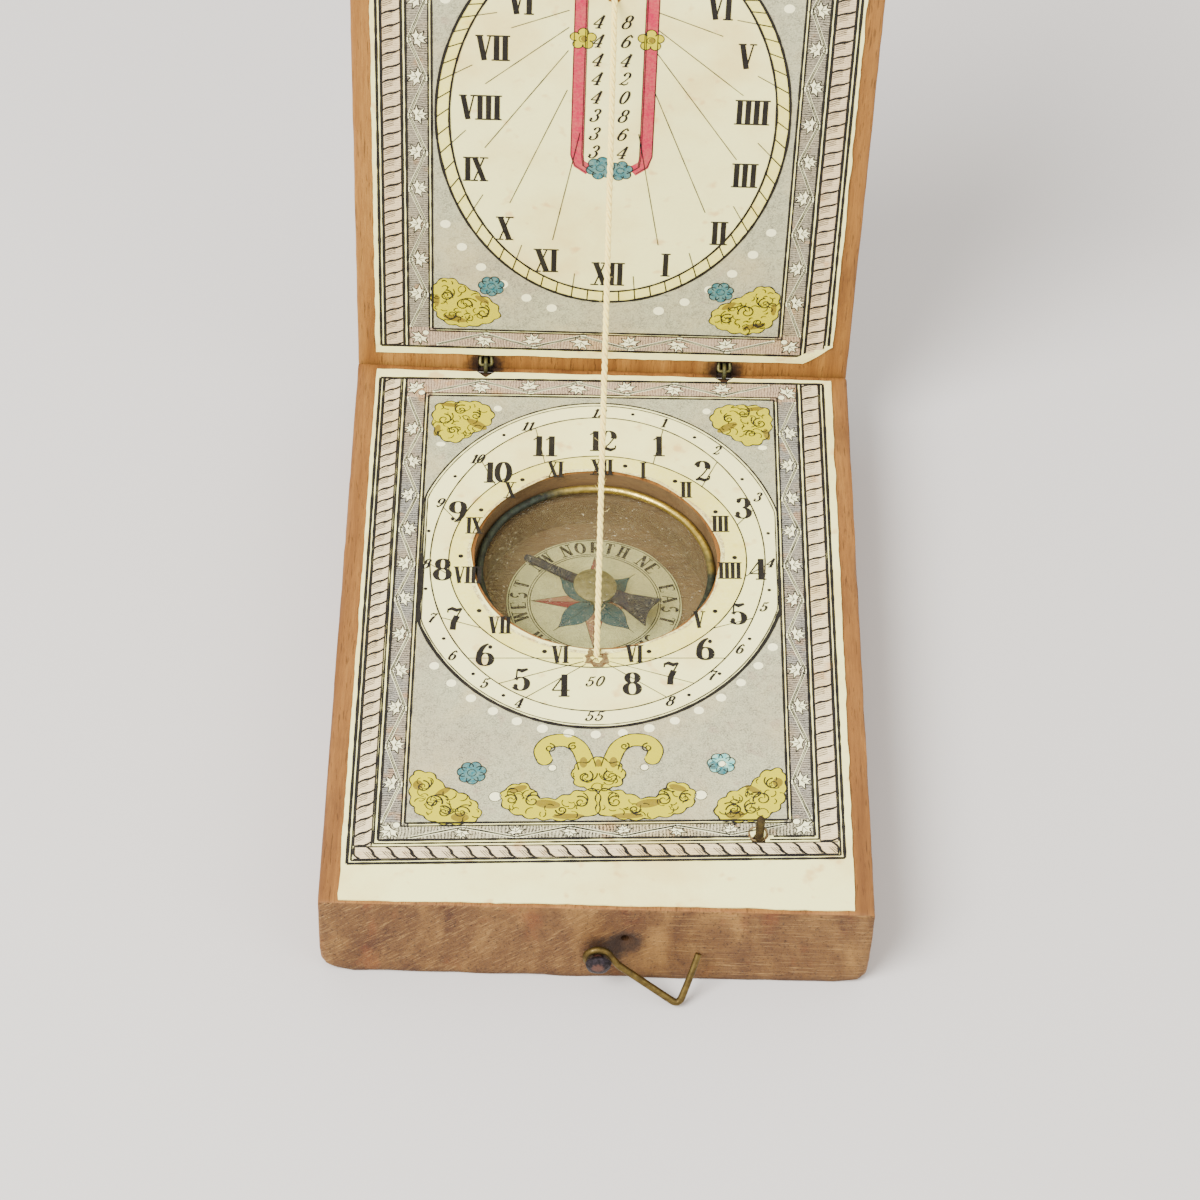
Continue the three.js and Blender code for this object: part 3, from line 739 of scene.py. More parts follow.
class Sketch:
    """Flat shapes of one colour, to be laid on a paper."""

    def __init__(self, material):
        self.material = material
        self.points = []
        self.faces = []
        self.lift = 0.0

    def raise_layer(self):
        """Later shapes lie a hair above earlier ones."""
        self.lift += 0.00006

    def fill(self, outline):
        area = sum(a[0] * b[1] - b[0] * a[1] for a, b in zip(outline, outline[1:] + outline[:1]))
        if area < 0:
            outline = outline[::-1]
        self.raise_layer()
        start = len(self.points)
        self.points += [(x, y, self.lift) for x, y in outline]
        self.faces.append(tuple(range(start, len(self.points))))

    def rectangle(self, left, right, low, high):
        self.fill([(left, low), (right, low), (right, high), (left, high)])

    def grid(self, left, right, low, high, step=0.45):
        """A rectangle in small squares, so that punch can take some out."""
        self.raise_layer()
        across, along = (max(1, round((b - a) / step)) for a, b in ((left, right), (low, high)))
        start = len(self.points)
        for i in range(across + 1):
            for j in range(along + 1):
                place = (left + (right - left) * i / across, low + (high - low) * j / along)
                self.points.append((*place, self.lift))
        for i in range(across):
            for j in range(along):
                a = start + i * (along + 1) + j
                self.faces.append((a, a + along + 1, a + along + 2, a + 1))

    def punch(self, x, y, radius):
        """Leave out the shapes that reach into a hole."""
        near = [math.hypot(px - x, py - y) < radius for px, py, _ in self.points]
        self.faces = [face for face in self.faces if not any(near[i] for i in face)]

    def disc(self, x, y, radius, tall=None):
        self.fill(arc(x, y, radius, tall or radius, 0, 352, 22)[:-1])

    def between(self, outer, inner):
        """The band between two closed lines of the same count."""
        self.raise_layer()
        start, count = len(self.points), len(outer)
        self.points += [(x, y, self.lift) for x, y in outer + inner]
        for i in range(count):
            j = (i + 1) % count
            self.faces.append((start + i, start + j, start + count + j, start + count + i))

    def stroke(self, line, width, closed=False, ragged=0.16):
        """A drawn line. width is a number, or gives one from the share along and the direction."""
        self.raise_layer()
        start, count = len(self.points), len(line)
        for i, (x, y) in enumerate(line):
            ahead = line[(i + 1) % count] if closed or i + 1 < count else line[i]
            behind = line[i - 1] if closed or i else line[i]
            run, rise = ahead[0] - behind[0], ahead[1] - behind[1]
            size = math.hypot(run, rise) or 1.0
            run, rise = run / size, rise / size
            half = (width(i / max(count - 1, 1), rise) if callable(width) else width) / 2
            half *= 1 + ragged * noise.noise(Vector((x * 2.3, y * 2.3, width if not callable(width) else 5)))
            self.points.append((x + rise * half, y - run * half, self.lift))
            self.points.append((x - rise * half, y + run * half, self.lift))
        for i in range(count if closed else count - 1):
            a, b = start + 2 * i, start + 2 * ((i + 1) % count)
            self.faces.append((a, b, b + 1, a + 1))

    def line(self, start, end, width, ragged=0.16):
        length = math.dist(start, end)
        count = max(2, int(length / 0.8))
        steps = [i / count for i in range(count + 1)]
        self.stroke([(start[0] + (end[0] - start[0]) * s, start[1] + (end[1] - start[1]) * s) for s in steps],
                    width, ragged=ragged)

    def lay(self, name, leaf, height):
        """Put the shapes on a paper: base, lid or rose."""
        def place(x, y, lift):
            if leaf == "base":
                slip = PRINT_SLIP * (0.5 - y / 70) * x - 0.2
                return x, hinge.y + y + slip, PAPER_TOP + height + lift
            if leaf == "lid":
                return x, LID_PAPER_FACE - height - lift, base_high.z + y
            return WELL.x + x, WELL.y + y, rose_high.z + height + lift

        points = [place(*p) for p in self.points]
        body = "lid" if leaf == "lid" else "base"
        piece(name, points, self.faces, self.material, body, "printed_paper", smooth=False)


# ---- numerals and letters --------------------------------------------------------------------
# Each sign is a list of strokes in a box one unit tall. A stroke is (weight, points): thick and
# thin hold their width, and pen swells on the upright parts, as an engraver's letter does.
def serif(x, y, half=0.15):
    return ("hair", [(x - half, y), (x + half, y)])


def ball(x, y, radius=0.085):
    return ("ball", [(x, y), (radius, radius)])


SIX = [
    ("pen", arc(0.30, 0.29, 0.21, 0.27, 0, 360)),
    ("pen", arc(0.47, 0.34, 0.38, 0.63, 178, 100)),
    ball(0.46, 0.83),
]
SIGNS = {
    "0": [("pen", arc(0.30, 0.5, 0.21, 0.47, 0, 360))],
    "1": [("thick", [(0.28, 0.0), (0.28, 0.97)]), ("thin", [(0.08, 0.78), (0.28, 0.96)]),
          serif(0.28, 0.015, 0.2)],
    "2": [
        ball(0.14, 0.76), ("pen", arc(0.29, 0.71, 0.19, 0.26, 170, -25)),
        ("thin", [(0.46, 0.60), (0.30, 0.33), (0.08, 0.08)]),
        ("bar", [(0.06, 0.07), (0.2, 0.12), (0.36, 0.05), (0.52, 0.12)]),
        ("thin", [(0.52, 0.10), (0.54, 0.27)]),
    ],
    "3": [
        ball(0.13, 0.82), ("pen", arc(0.28, 0.75, 0.17, 0.22, 150, -90)),
        ("pen", arc(0.27, 0.27, 0.22, 0.25, 90, -160)), ball(0.10, 0.24, 0.095),
    ],
    "4": [
        ("thin", [(0.42, 0.96), (0.03, 0.27)]), ("thin", [(0.02, 0.27), (0.60, 0.27)]),
        ("thick", [(0.42, 0.0), (0.42, 0.96)]), serif(0.42, 0.015, 0.18),
    ],
    "5": [
        ("thin", [(0.13, 0.54), (0.15, 0.92)]), ("bar", [(0.14, 0.93), (0.3, 0.86), (0.5, 0.94)]),
        ("pen", arc(0.27, 0.30, 0.22, 0.28, 140, -155)), ball(0.11, 0.21, 0.09),
    ],
    "6": SIX,
    "7": [
        ("bar", [(0.07, 0.90), (0.2, 0.95), (0.36, 0.87), (0.53, 0.95)]),
        ("thin", [(0.06, 0.76), (0.07, 0.94)]),
        ("thin", [(0.53, 0.95), (0.38, 0.62)]), ("thick", [(0.38, 0.62), (0.27, 0.32), (0.25, 0.0)]),
    ],
    "8": [("pen", arc(0.30, 0.74, 0.17, 0.22, 0, 360)), ("pen", arc(0.30, 0.27, 0.22, 0.26, 0, 360))],
    "9": [
        ("pen", [(0.60 - x, 1 - y) for x, y in SIX[0][1]]), ("pen", [(0.60 - x, 1 - y) for x, y in SIX[1][1]]),
        ball(0.14, 0.17),
    ],
    "I": [("thick", [(0.18, 0.0), (0.18, 1.0)]), serif(0.18, 0.015, 0.17), serif(0.18, 0.985, 0.17)],
    "V": [
        ("thick", [(0.14, 1.0), (0.32, 0.0)]), ("thin", [(0.32, 0.02), (0.52, 1.0)]),
        serif(0.14, 0.985, 0.14), serif(0.52, 0.985, 0.12),
    ],
    "X": [
        ("thick", [(0.12, 1.0), (0.46, 0.0)]), ("thin", [(0.46, 1.0), (0.10, 0.0)]),
        serif(0.12, 0.985), serif(0.46, 0.985), serif(0.10, 0.015), serif(0.46, 0.015),
    ],
    "N": [
        ("thin", [(0.12, 0.0), (0.12, 1.0)]), ("thick", [(0.12, 1.0), (0.56, 0.0)]),
        ("thin", [(0.56, 0.0), (0.56, 1.0)]), serif(0.12, 0.015), serif(0.56, 0.985),
    ],
    "E": [
        ("thick", [(0.16, 0.0), (0.16, 1.0)]), ("thin", [(0.10, 0.98), (0.52, 0.98), (0.54, 0.78)]),
        ("thin", [(0.16, 0.5), (0.40, 0.5)]), ("thin", [(0.10, 0.02), (0.52, 0.02), (0.54, 0.22)]),
    ],
    "S": [("pen", arc(0.28, 0.74, 0.19, 0.24, 40, 250)), ("pen", arc(0.28, 0.26, 0.20, 0.25, 70, -150))],
    "W": [
        ("thick", [(0.10, 1.0), (0.26, 0.0)]), ("thin", [(0.26, 0.0), (0.40, 1.0)]),
        ("thick", [(0.40, 1.0), (0.56, 0.0)]), ("thin", [(0.56, 0.0), (0.70, 1.0)]),
        serif(0.10, 0.985), serif(0.70, 0.985),
    ],
    "O": [("pen", arc(0.32, 0.5, 0.24, 0.48, 0, 360))],
    "R": [
        ("thick", [(0.16, 0.0), (0.16, 1.0)]), ("pen", arc(0.30, 0.74, 0.20, 0.24, 90, -90)),
        ("thin", [(0.10, 0.98), (0.32, 0.98)]), ("thin", [(0.16, 0.5), (0.32, 0.5)]),
        ("thick", [(0.32, 0.5), (0.52, 0.0)]),
    ],
    "T": [("thick", [(0.30, 0.0), (0.30, 1.0)]),
          ("thin", [(0.05, 0.78), (0.06, 0.98), (0.54, 0.98), (0.55, 0.78)])],
    "H": [
        ("thick", [(0.15, 0.0), (0.15, 1.0)]), ("thick", [(0.50, 0.0), (0.50, 1.0)]),
        ("thin", [(0.15, 0.5), (0.50, 0.5)]),
        serif(0.15, 0.985), serif(0.50, 0.985), serif(0.15, 0.015), serif(0.50, 0.015),
    ],
    "A": [
        ("thin", [(0.06, 0.0), (0.30, 1.0)]), ("thick", [(0.30, 1.0), (0.54, 0.0)]),
        ("thin", [(0.15, 0.35), (0.44, 0.35)]),
    ],
    "U": [
        ("thick", [(0.14, 1.0), (0.14, 0.3)]), ("pen", arc(0.30, 0.25, 0.16, 0.23, 180, 360)),
        ("thin", [(0.46, 0.3), (0.46, 1.0)]),
    ],
}
SIGN_WIDTHS = {"1": 0.48, "I": 0.30, "V": 0.56, "X": 0.54, "N": 0.68, "W": 0.78, "H": 0.66, "O": 0.66}


def write(sketch, text, x, y, height, bold=0.17, squeeze=1.0, lean=0.0, turn=0.0, gap=0.0):
    """Text centred on a place: bold is the thick stroke's share of the height."""
    widths = [(SIGN_WIDTHS.get(sign, 0.60) + gap) * squeeze for sign in text]
    pen_x = -sum(widths) / 2
    cos, sin = math.cos(turn), math.sin(turn)

    def put(px, py):
        px, py = (pen_x + px * squeeze + lean * (py - 0.5)) * height, (py - 0.5) * height
        return x + px * cos - py * sin, y + px * sin + py * cos

    thick, thin = bold * height, max(0.05 * height, 0.12)
    weights = {
        "thick": lambda share, rise: thick,
        "thin": lambda share, rise: thin,
        "hair": lambda share, rise: thin * 1.1,
        "bar": lambda share, rise: thick * (0.45 + 0.4 * math.sin(math.pi * share)),
        "pen": lambda share, rise: thin + (thick - thin) * abs(rise) ** 2.2,
    }
    for sign, width in zip(text, widths):
        for weight, line in SIGNS[sign]:
            if weight == "ball":
                (bx, by), (radius, _) = line
                sketch.disc(*put(bx, by), radius * height * 0.8, radius * height)
            else:
                sketch.stroke([put(px, py) for px, py in line], weights[weight], ragged=0.1)
        pen_x += width


# ---- ornaments -------------------------------------------------------------------------------
def rounded(points, closed=True, steps=5):
    """A smooth line through a few points."""
    count = len(points)
    line = []
    for i in range(count if closed else count - 1):
        if closed:
            a, b, c, d = (points[(i + k) % count] for k in (-1, 0, 1, 2))
        else:
            a, b, c, d = (points[min(max(i + k, 0), count - 1)] for k in (-1, 0, 1, 2))
        for step in range(steps):
            t = step / steps
            line.append(tuple(
                0.5 * (2 * q + (r - p) * t + (2 * p - 5 * q + 4 * r - u) * t * t + (3 * q - p - 3 * r + u) * t ** 3)
                for p, q, r, u in zip(a, b, c, d)
            ))
    return line if closed else line + [points[-1]]


def leaf_sprig(white, ink, x, y, size, heading):
    """A small lobed leaf with a ball at its stalk, left white on the hatching."""
    lobes = [1.0, 0.55, 0.98, 0.5, 1.05, 0.55, 0.72, 0.3]
    polar = [(i * 0.36, reach) for i, reach in enumerate(lobes)]
    polar += [(2 * math.pi - turn, reach) for turn, reach in reversed(polar[1:])]
    outline = [(x + size * r * math.cos(t + heading), y + size * r * math.sin(t + heading)) for t, r in polar]
    outline = rounded(outline, steps=3)
    white.fill(outline)
    ink.stroke(outline, 0.10, closed=True, ragged=0.6)
    ball_x, ball_y = x - 0.72 * size * math.cos(heading), y - 0.72 * size * math.sin(heading)
    white.disc(ball_x, ball_y, 0.30 * size)
    ink.stroke(arc(ball_x, ball_y, 0.30 * size, 0.30 * size, 0, 350), 0.06, ragged=0.5)
    for turn in (-0.9, 0, 0.9):
        end = (x + 0.5 * size * math.cos(heading + turn), y + 0.5 * size * math.sin(heading + turn))
        ink.line((x, y), end, 0.07)


def curl(ink, x, y, radius, start, hand, turns=1.35, width=0.13):
    """An engraved spiral, from its outer end inwards."""
    line = []
    for i in range(25):
        share = i / 24
        t = math.radians(start) + hand * 2 * math.pi * turns * share
        reach = radius * (1 - 0.82 * share)
        line.append((x + reach * math.cos(t), y + reach * math.sin(t)))
    ink.stroke(line, lambda share, rise: width * (1.2 - 0.5 * share), ragged=0.4)


def inside(x, y, outline):
    """Whether a point is within a closed line."""
    crossings = 0
    for (ax, ay), (bx, by) in zip(outline, outline[1:] + outline[:1]):
        if (ay > y) != (by > y) and x < ax + (bx - ax) * (y - ay) / (by - ay):
            crossings += 1
    return crossings % 2 == 1


def lobed(outline, lobe=1.5, depth=0.26):
    """The same outline with the small round lobes of an engraved leaf along it."""
    following = outline[1:] + outline[:1]
    turning = 1 if sum(ax * by - bx * ay for (ax, ay), (bx, by) in zip(outline, following)) > 0 else -1
    round_it = sum(math.dist(a, b) for a, b in zip(outline, following))
    lobe = round_it / round(round_it / lobe)
    line = []
    walked = 0.0
    for before, (x, y), after in zip(outline[-1:] + outline[:-1], outline, following):
        run = math.dist(before, after) or 1.0
        out = turning * (depth * abs(math.sin(math.pi * walked / lobe)) - depth / 2)
        out += turning * 0.08 * noise.noise(Vector((x * 1.9, y * 1.9, 4)))
        line.append((x + out * (after[1] - before[1]) / run, y - out * (after[0] - before[0]) / run))
        walked += math.dist((x, y), after)
    return line


def scrollwork(paint, shade, ink, outline, curls, shades, side=1, flip=None):
    """One painted ornament: side is -1 for its mirror image, and flip turns it over a height."""
    def put(x, y):
        return side * x, (y if flip is None else flip - y)

    hand = side * (1 if flip is None else -1)
    outline = rounded([put(*p) for p in outline], steps=12)
    bumpy = lobed(outline)
    paint.fill(bumpy)
    ink.stroke(bumpy, 0.11, closed=True, ragged=0.9)
    for x, y, wide, tall, turn in shades:
        x, y = put(x, y)
        patch = []
        for px, py in arc(0, 0, wide, tall, 0, 345, 23):
            t = math.radians(turn) * hand
            patch.append((x + px * math.cos(t) - py * math.sin(t), y + px * math.sin(t) + py * math.cos(t)))
        shade.fill(patch)
    dice = random.Random(len(outline) * 7 + int(outline[0][1] * 3))
    wide = [p[0] for p in bumpy]
    tall = [p[1] for p in bumpy]
    for _ in range(int((max(wide) - min(wide)) * (max(tall) - min(tall)) * 1.5)):
        x, y = dice.uniform(min(wide), max(wide)), dice.uniform(min(tall), max(tall))
        if inside(x, y, bumpy) and min(math.dist((x, y), p) for p in bumpy) > 0.45:
            start, reach = dice.uniform(0, 360), dice.uniform(0.3, 0.6)
            ink.stroke(arc(x, y, reach, reach, start, start + dice.uniform(70, 170), 7), 0.085, ragged=0.8)
    for x, y, radius, start, way in curls:
        x, y = put(x, y)
        start = start if side > 0 else 180 - start
        start = start if flip is None else -start
        curl(ink, x, y, radius, start, way * hand)
        curl(ink, x, y, radius * 1.5, start + 40 * way * hand, way * hand, 0.35, 0.10)


def rosette(paint, ink, centre_paint, x, y, radius, petals=6):
    """A small round flower."""
    for i in range(petals):
        turn = 2 * math.pi * i / petals + 0.3
        px, py = x + radius * 0.62 * math.cos(turn), y + radius * 0.62 * math.sin(turn)
        paint.disc(px, py, radius * 0.42)
        start = math.degrees(turn) - 120
        ink.stroke(arc(px, py, radius * 0.4, radius * 0.4, start, start + 240), 0.09, ragged=0.5)
    paint.disc(x, y, radius * 0.45)
    centre_paint.disc(x + 0.1 * radius, y, radius * 0.26)
    ink.stroke(arc(x, y, radius * 0.3, radius * 0.3, 0, 350), 0.06)


# Half of each ornament, in hinge-line millimetres, for the right-hand side.
ARCH = [(1.1, -58.0), (1.5, -56.4), (2.1, -55.1), (3.3, -54.3), (4.9, -54.5), (5.7, -55.6), (5.45, -56.7)]
HEART = [
    (0.0, -56.4), (0.9, -57.1), (2.2, -57.5), (2.6, -58.9), (2.2, -60.1), (1.1, -60.7), (0.0, -60.9),
    (-1.1, -60.7),
    (-2.2, -60.1), (-2.6, -58.9), (-2.2, -57.5), (-0.9, -57.1),
]
SWAG = [
    (0.0, -61.1), (1.7, -60.9), (3.3, -61.5), (4.4, -62.0), (5.8, -61.7), (6.5, -60.7), (7.5, -59.9),
    (8.8, -60.3),
    (9.6, -61.3), (9.4, -62.7), (8.4, -63.7), (7.0, -64.3), (5.0, -64.6), (2.8, -64.7), (0.9, -64.1),
    (0.0, -63.9),
]
FRONT_CORNER = [
    (18.5, -58.6), (17.2, -58.3), (16.3, -58.8), (15.0, -60.4), (13.2, -61.3), (12.0, -62.5), (11.6, -63.9),
    (12.4, -64.9), (14.7, -65.1), (16.5, -64.6), (18.0, -63.3), (18.6, -61.5),
]
BACK_CORNER = [
    (18.3, -6.7), (17.6, -5.7), (15.5, -5.4), (13.2, -5.6), (11.9, -7.1), (12.2, -8.7), (13.8, -10.2),
    (15.9, -11.7),
    (17.6, -10.9), (18.4, -8.8),
]
LID_CORNER = [
    (18.4, 12.2), (16.9, 12.9), (15.3, 11.8), (13.6, 10.6), (12.0, 9.4), (11.5, 7.6), (13.0, 6.4), (15.4, 5.9),
    (17.5, 6.6), (18.7, 8.6), (18.9, 10.6),
]

# The engraved spirals in each: (across, along, radius, degrees where it starts, hand).
SWAG_CURLS = [
    (1.7, -62.4, 0.8, 60, 1), (6.5, -62.2, 0.85, 150, -1), (8.6, -62.0, 0.7, 30, 1), (3.6, -63.4, 0.6, 0, -1),
]
HEART_CURLS = [(1.3, -59.1, 0.85, 120, 1), (-1.3, -59.1, 0.85, 60, -1)]
FRONT_CURLS = [
    (17.4, -60.2, 0.75, 90, 1), (16.3, -62.2, 0.95, 200, -1), (15.2, -63.5, 0.8, 60, 1),
    (13.5, -63.6, 0.85, 180, -1),
]
BACK_CURLS = [
    (17.2, -8.2, 0.85, 90, 1), (15.4, -6.7, 0.8, 120, -1), (13.8, -7.6, 0.6, 60, 1), (16.2, -9.9, 0.6, 200, -1),
]
LID_CURLS = [
    (17.3, 10.4, 0.8, 90, 1), (15.4, 9.1, 1.0, 200, -1), (13.3, 8.0, 0.8, 60, 1), (16.7, 7.6, 0.7, 0, -1),
]

# The darker washes in each: (across, along, half width, half height, degrees of tilt).
SWAG_SHADES = [(5.0, -62.6, 1.3, 0.55, 10), (7.9, -60.6, 0.9, 0.4, -20), (2.9, -64.2, 1.6, 0.35, 0)]
HEART_SHADES = [(0.0, -57.3, 0.3, 0.5, 0)]
FRONT_SHADES = [(17.9, -60.0, 0.5, 0.6, 0), (13.6, -64.2, 0.9, 0.55, 5), (15.4, -60.9, 0.9, 0.35, -35)]
BACK_SHADES = [(13.6, -8.9, 1.3, 0.5, 35), (16.7, -5.9, 1.0, 0.3, 8), (17.9, -9.9, 0.35, 0.9, 10)]
LID_SHADES = [(16.3, 7.0, 1.3, 0.4, 15), (13.4, 9.9, 0.9, 0.35, 35), (18.3, 9.6, 0.3, 0.9, 0)]


def arch_scroll(paint, shade, white, ink, side):
    """One curled arm of the centre ornament, with its pearl."""
    line = rounded([(side * x, y) for x, y in ARCH], closed=False)
    edges = [[], []]
    for i, here in enumerate(line):
        run = Vector(line[min(i + 1, len(line) - 1)]) - Vector(line[max(i - 1, 0)])
        across = Vector((-run.y, run.x)).normalized() * (0.88 - 0.12 * i / len(line))
        edges[0].append(tuple(Vector(here) + across))
        edges[1].append(tuple(Vector(here) - across))
    paint.stroke(line, lambda share, rise: 1.76 - 0.24 * share, ragged=0.0)
    paint.disc(side * 5.4, -56.75, 0.8)
    for edge in edges:
        ink.stroke(edge, 0.10, ragged=0.9)
    ink.stroke(arc(side * 5.4, -56.75, 0.8, 0.8, 180, 360), 0.10, ragged=0.9)
    curl(ink, side * 4.9, -55.3, 0.6, 90, side)
    curl(ink, side * 2.6, -55.1, 0.5, 60, -side)
    shade.disc(side * 1.5, -57.2, 0.4, 0.7)
    for x, y, radius in ((4.6, -57.9, 0.42), (10.2, -61.6, 0.62)):
        white.disc(side * x, y, radius)
        ink.stroke(arc(side * x, y, radius, radius, 0, 350), 0.055)


# ---- borders ---------------------------------------------------------------------------------
def rope(tint, ink, low, high, near, far, upright, pitch, rise):
    """A twisted rope in a band: low to high along it, near to far across it."""
    def put(along, across):
        return (across, along) if upright else (along, across)

    tint.grid(*((near, far, low, high) if upright else (low, high, near, far)))
    width = far - near
    for edge in (near + 0.02 * width, far - 0.02 * width):
        ink.stroke([put(low + (high - low) * i / 60, edge) for i in range(61)], 0.14, ragged=0.7)
    count = round((high - low) / pitch)
    for i in range(count + 1):
        start = low + (high - low) * i / count + 0.12 * noise.noise(Vector((i * 0.7, low, near)))
        slant = rise * (1 + 0.15 * noise.noise(Vector((i * 0.9, near, 2))))
        curve = []
        for step in range(11):
            share = step / 10
            swell = share + 0.10 * math.sin(2 * math.pi * share)
            along = min(max(start + slant * (swell - 0.5), low), high)
            curve.append(put(along, near + width * (0.03 + 0.94 * share)))
        ink.stroke(curve, lambda share, rise: 0.15 + 0.13 * math.sin(math.pi * share), ragged=0.4)
        for lag in (0.16, 0.30, 0.44):
            hatch = []
            for step in range(5):
                share = 0.1 + 0.5 * step / 4
                along = start - lag * pitch + slant * (share - 0.5)
                if low < along < high:
                    hatch.append(put(along, near + width * share))
            if len(hatch) > 2:
                ink.stroke(hatch, 0.055, ragged=0.6)


def vine(ground, white, ink, low, high, near, far, upright, first_side=1):
    """A white zigzag stem with a leaf at each turn, on a hatched band."""
    def put(along, across):
        return (across, along) if upright else (along, across)

    ground.grid(*((near, far, low, high) if upright else (low, high, near, far)))
    middle, width = (near + far) / 2, far - near
    count = max(2, round((high - low) / 5.05))
    knees = []
    for i in range(count + 1):
        side = 1 if (i % 2) == (first_side > 0) else -1
        knees.append(put(low + (high - low) * i / count, middle + side * 0.42 * width))
    for start, end in zip(knees, knees[1:]):
        white.line(start, end, 0.34)
        for offset in (-0.21, 0.21):
            shift = put(offset, 0.0)
            ends = [(x + shift[0], y + shift[1]) for x, y in (start, end)]
            ink.line(*ends, 0.09, ragged=0.7)
    for i in range(1, count):
        x, y = knees[i]
        away = -1 if (i % 2) == (first_side > 0) else 1
        heading = (0 if away > 0 else math.pi) if upright else (math.pi / 2 if away > 0 else -math.pi / 2)
        x, y = (x + away * 0.42 * width, y) if upright else (x, y + away * 0.42 * width)
        leaf_sprig(white, ink, x, y, 0.60 * width, heading + 0.2 * away)


# ---- the hour plan ---------------------------------------------------------------------------
FOOT = (THREAD_X, THREAD_FOOT - hinge.y)
HEAD = (THREAD_X, THREAD_TOP - base_high.z)
BASE_OVAL = (THREAD_X, -29.0)
LID_OVAL = (0.0, 35.5)

# Where each figure stands. The second of two equal figures has a space after it.
BASE_FIGURES = {
    "12": (0.0, -11.2), "11": (-6.3, -12.1), "10": (-11.3, -16.2), "9": (-15.3, -22.2), "8": (-16.6, -30.6),
    "7": (-15.1, -37.6), "6": (-11.8, -42.6), "5": (-8.0, -46.0), "4": (-4.0, -46.8), "1": (6.0, -11.9),
    "2": (10.8, -15.7), "3": (15.1, -21.3), "4 ": (16.4, -30.3), "5 ": (14.3, -36.8), "6 ": (10.8, -41.8),
    "7 ": (7.3, -45.2), "8 ": (3.3, -46.6),
}
BASE_SMALL_FIGURES = {
    "12": (-0.3, -6.9), "11": (-8.0, -9.1), "10": (-13.3, -14.2), "9": (-17.1, -20.9), "8": (-18.2, -29.8),
    "7": (-17.3, -37.5), "6": (-15.0, -42.7), "5": (-11.6, -46.5), "4": (-8.1, -49.2), "1": (6.8, -8.3),
    "2": (12.5, -12.5), "3": (16.8, -19.6), "4 ": (17.9, -29.4), "5 ": (17.1, -35.8), "6 ": (14.5, -41.8),
    "7 ": (11.6, -45.5), "8 ": (7.3, -49.0),
}
BASE_ROMANS = {
    "XII": (0.0, -15.3), "XI": (-5.0, -15.7), "X": (-9.8, -18.9), "IX": (-13.5, -24.2), "VIII": (-13.9, -31.4),
    "VII": (-10.4, -38.5), "VI": (-4.1, -42.6), "I": (4.4, -15.7), "II": (9.0, -18.6), "III": (12.6, -23.7),
    "IIII": (13.5, -30.6), "V": (10.2, -37.7), "VI ": (3.5, -42.5),
}
LID_ROMANS = {
    "XII": (0.1, 14.1), "XI": (-6.6, 15.8), "X": (-11.1, 20.2), "IX": (-14.3, 28.3), "VIII": (-13.8, 36.6),
    "VII": (-12.6, 44.4), "VI": (-9.8, 50.4), "I": (6.2, 15.6), "II": (11.7, 20.3), "III": (14.0, 28.4),
    "IIII": (14.3, 36.9), "V": (13.3, 44.2), "VI ": (10.3, 50.4),
}


def base_hour_turn(hours):
    """The angle between noon and an hour line on the level dial, hours counted from noon."""
    t = math.radians(15 * hours)
    return math.atan2(math.sin(LATITUDE) * math.sin(t), math.cos(t))


def lid_hour_turn(hours):
    t = math.radians(15 * hours)
    return math.atan2(math.cos(LATITUDE) * math.sin(t), math.cos(t))


def meets_oval(start, direction, centre, wide, tall):
    """Where a line from inside an ellipse meets it."""
    px, py = (start[0] - centre[0]) / wide, (start[1] - centre[1]) / tall
    dx, dy = direction[0] / wide, direction[1] / tall
    a, b, c = dx * dx + dy * dy, px * dx + py * dy, px * px + py * py - 1
    reach = (-b + math.sqrt(max(b * b - a * c, 0))) / a
    return start[0] + direction[0] * reach, start[1] + direction[1] * reach


def clipped_oval(centre, wide, tall, limit, count=180):
    turns = [2 * math.pi * i / count for i in range(count)]
    points = [(centre[0] + wide * math.cos(t), centre[1] + tall * math.sin(t)) for t in turns]
    return [(max(-limit, min(limit, x)), y) for x, y in points]


def box_line(ink, left, right, low, high, width):
    """A printed rectangle."""
    corners = [(left, low), (right, low), (right, high), (left, high)]
    for start, end in zip(corners, corners[1:] + corners[:1]):
        ink.line(start, end, width, ragged=0.4)


def field_outline(middle, half_width, left, right, low, high, count=180):
    """The field's edge, with a point for each of the oval's and one on each corner."""
    outline = []
    for i in range(count):
        t = 2 * math.pi * i / count
        tall = (high - middle) if math.sin(t) > 0 else (middle - low)
        scale = min(half_width / max(abs(math.cos(t)), 1e-6), tall / max(abs(math.sin(t)), 1e-6))
        outline.append((max(left, min(right, scale * math.cos(t))), middle + scale * math.sin(t)))
    for corner in ((left, low), (right, low), (right, high), (left, high)):
        near = min(range(count), key=lambda i: math.dist(outline[i], corner))
        outline[near] = corner
    return outline


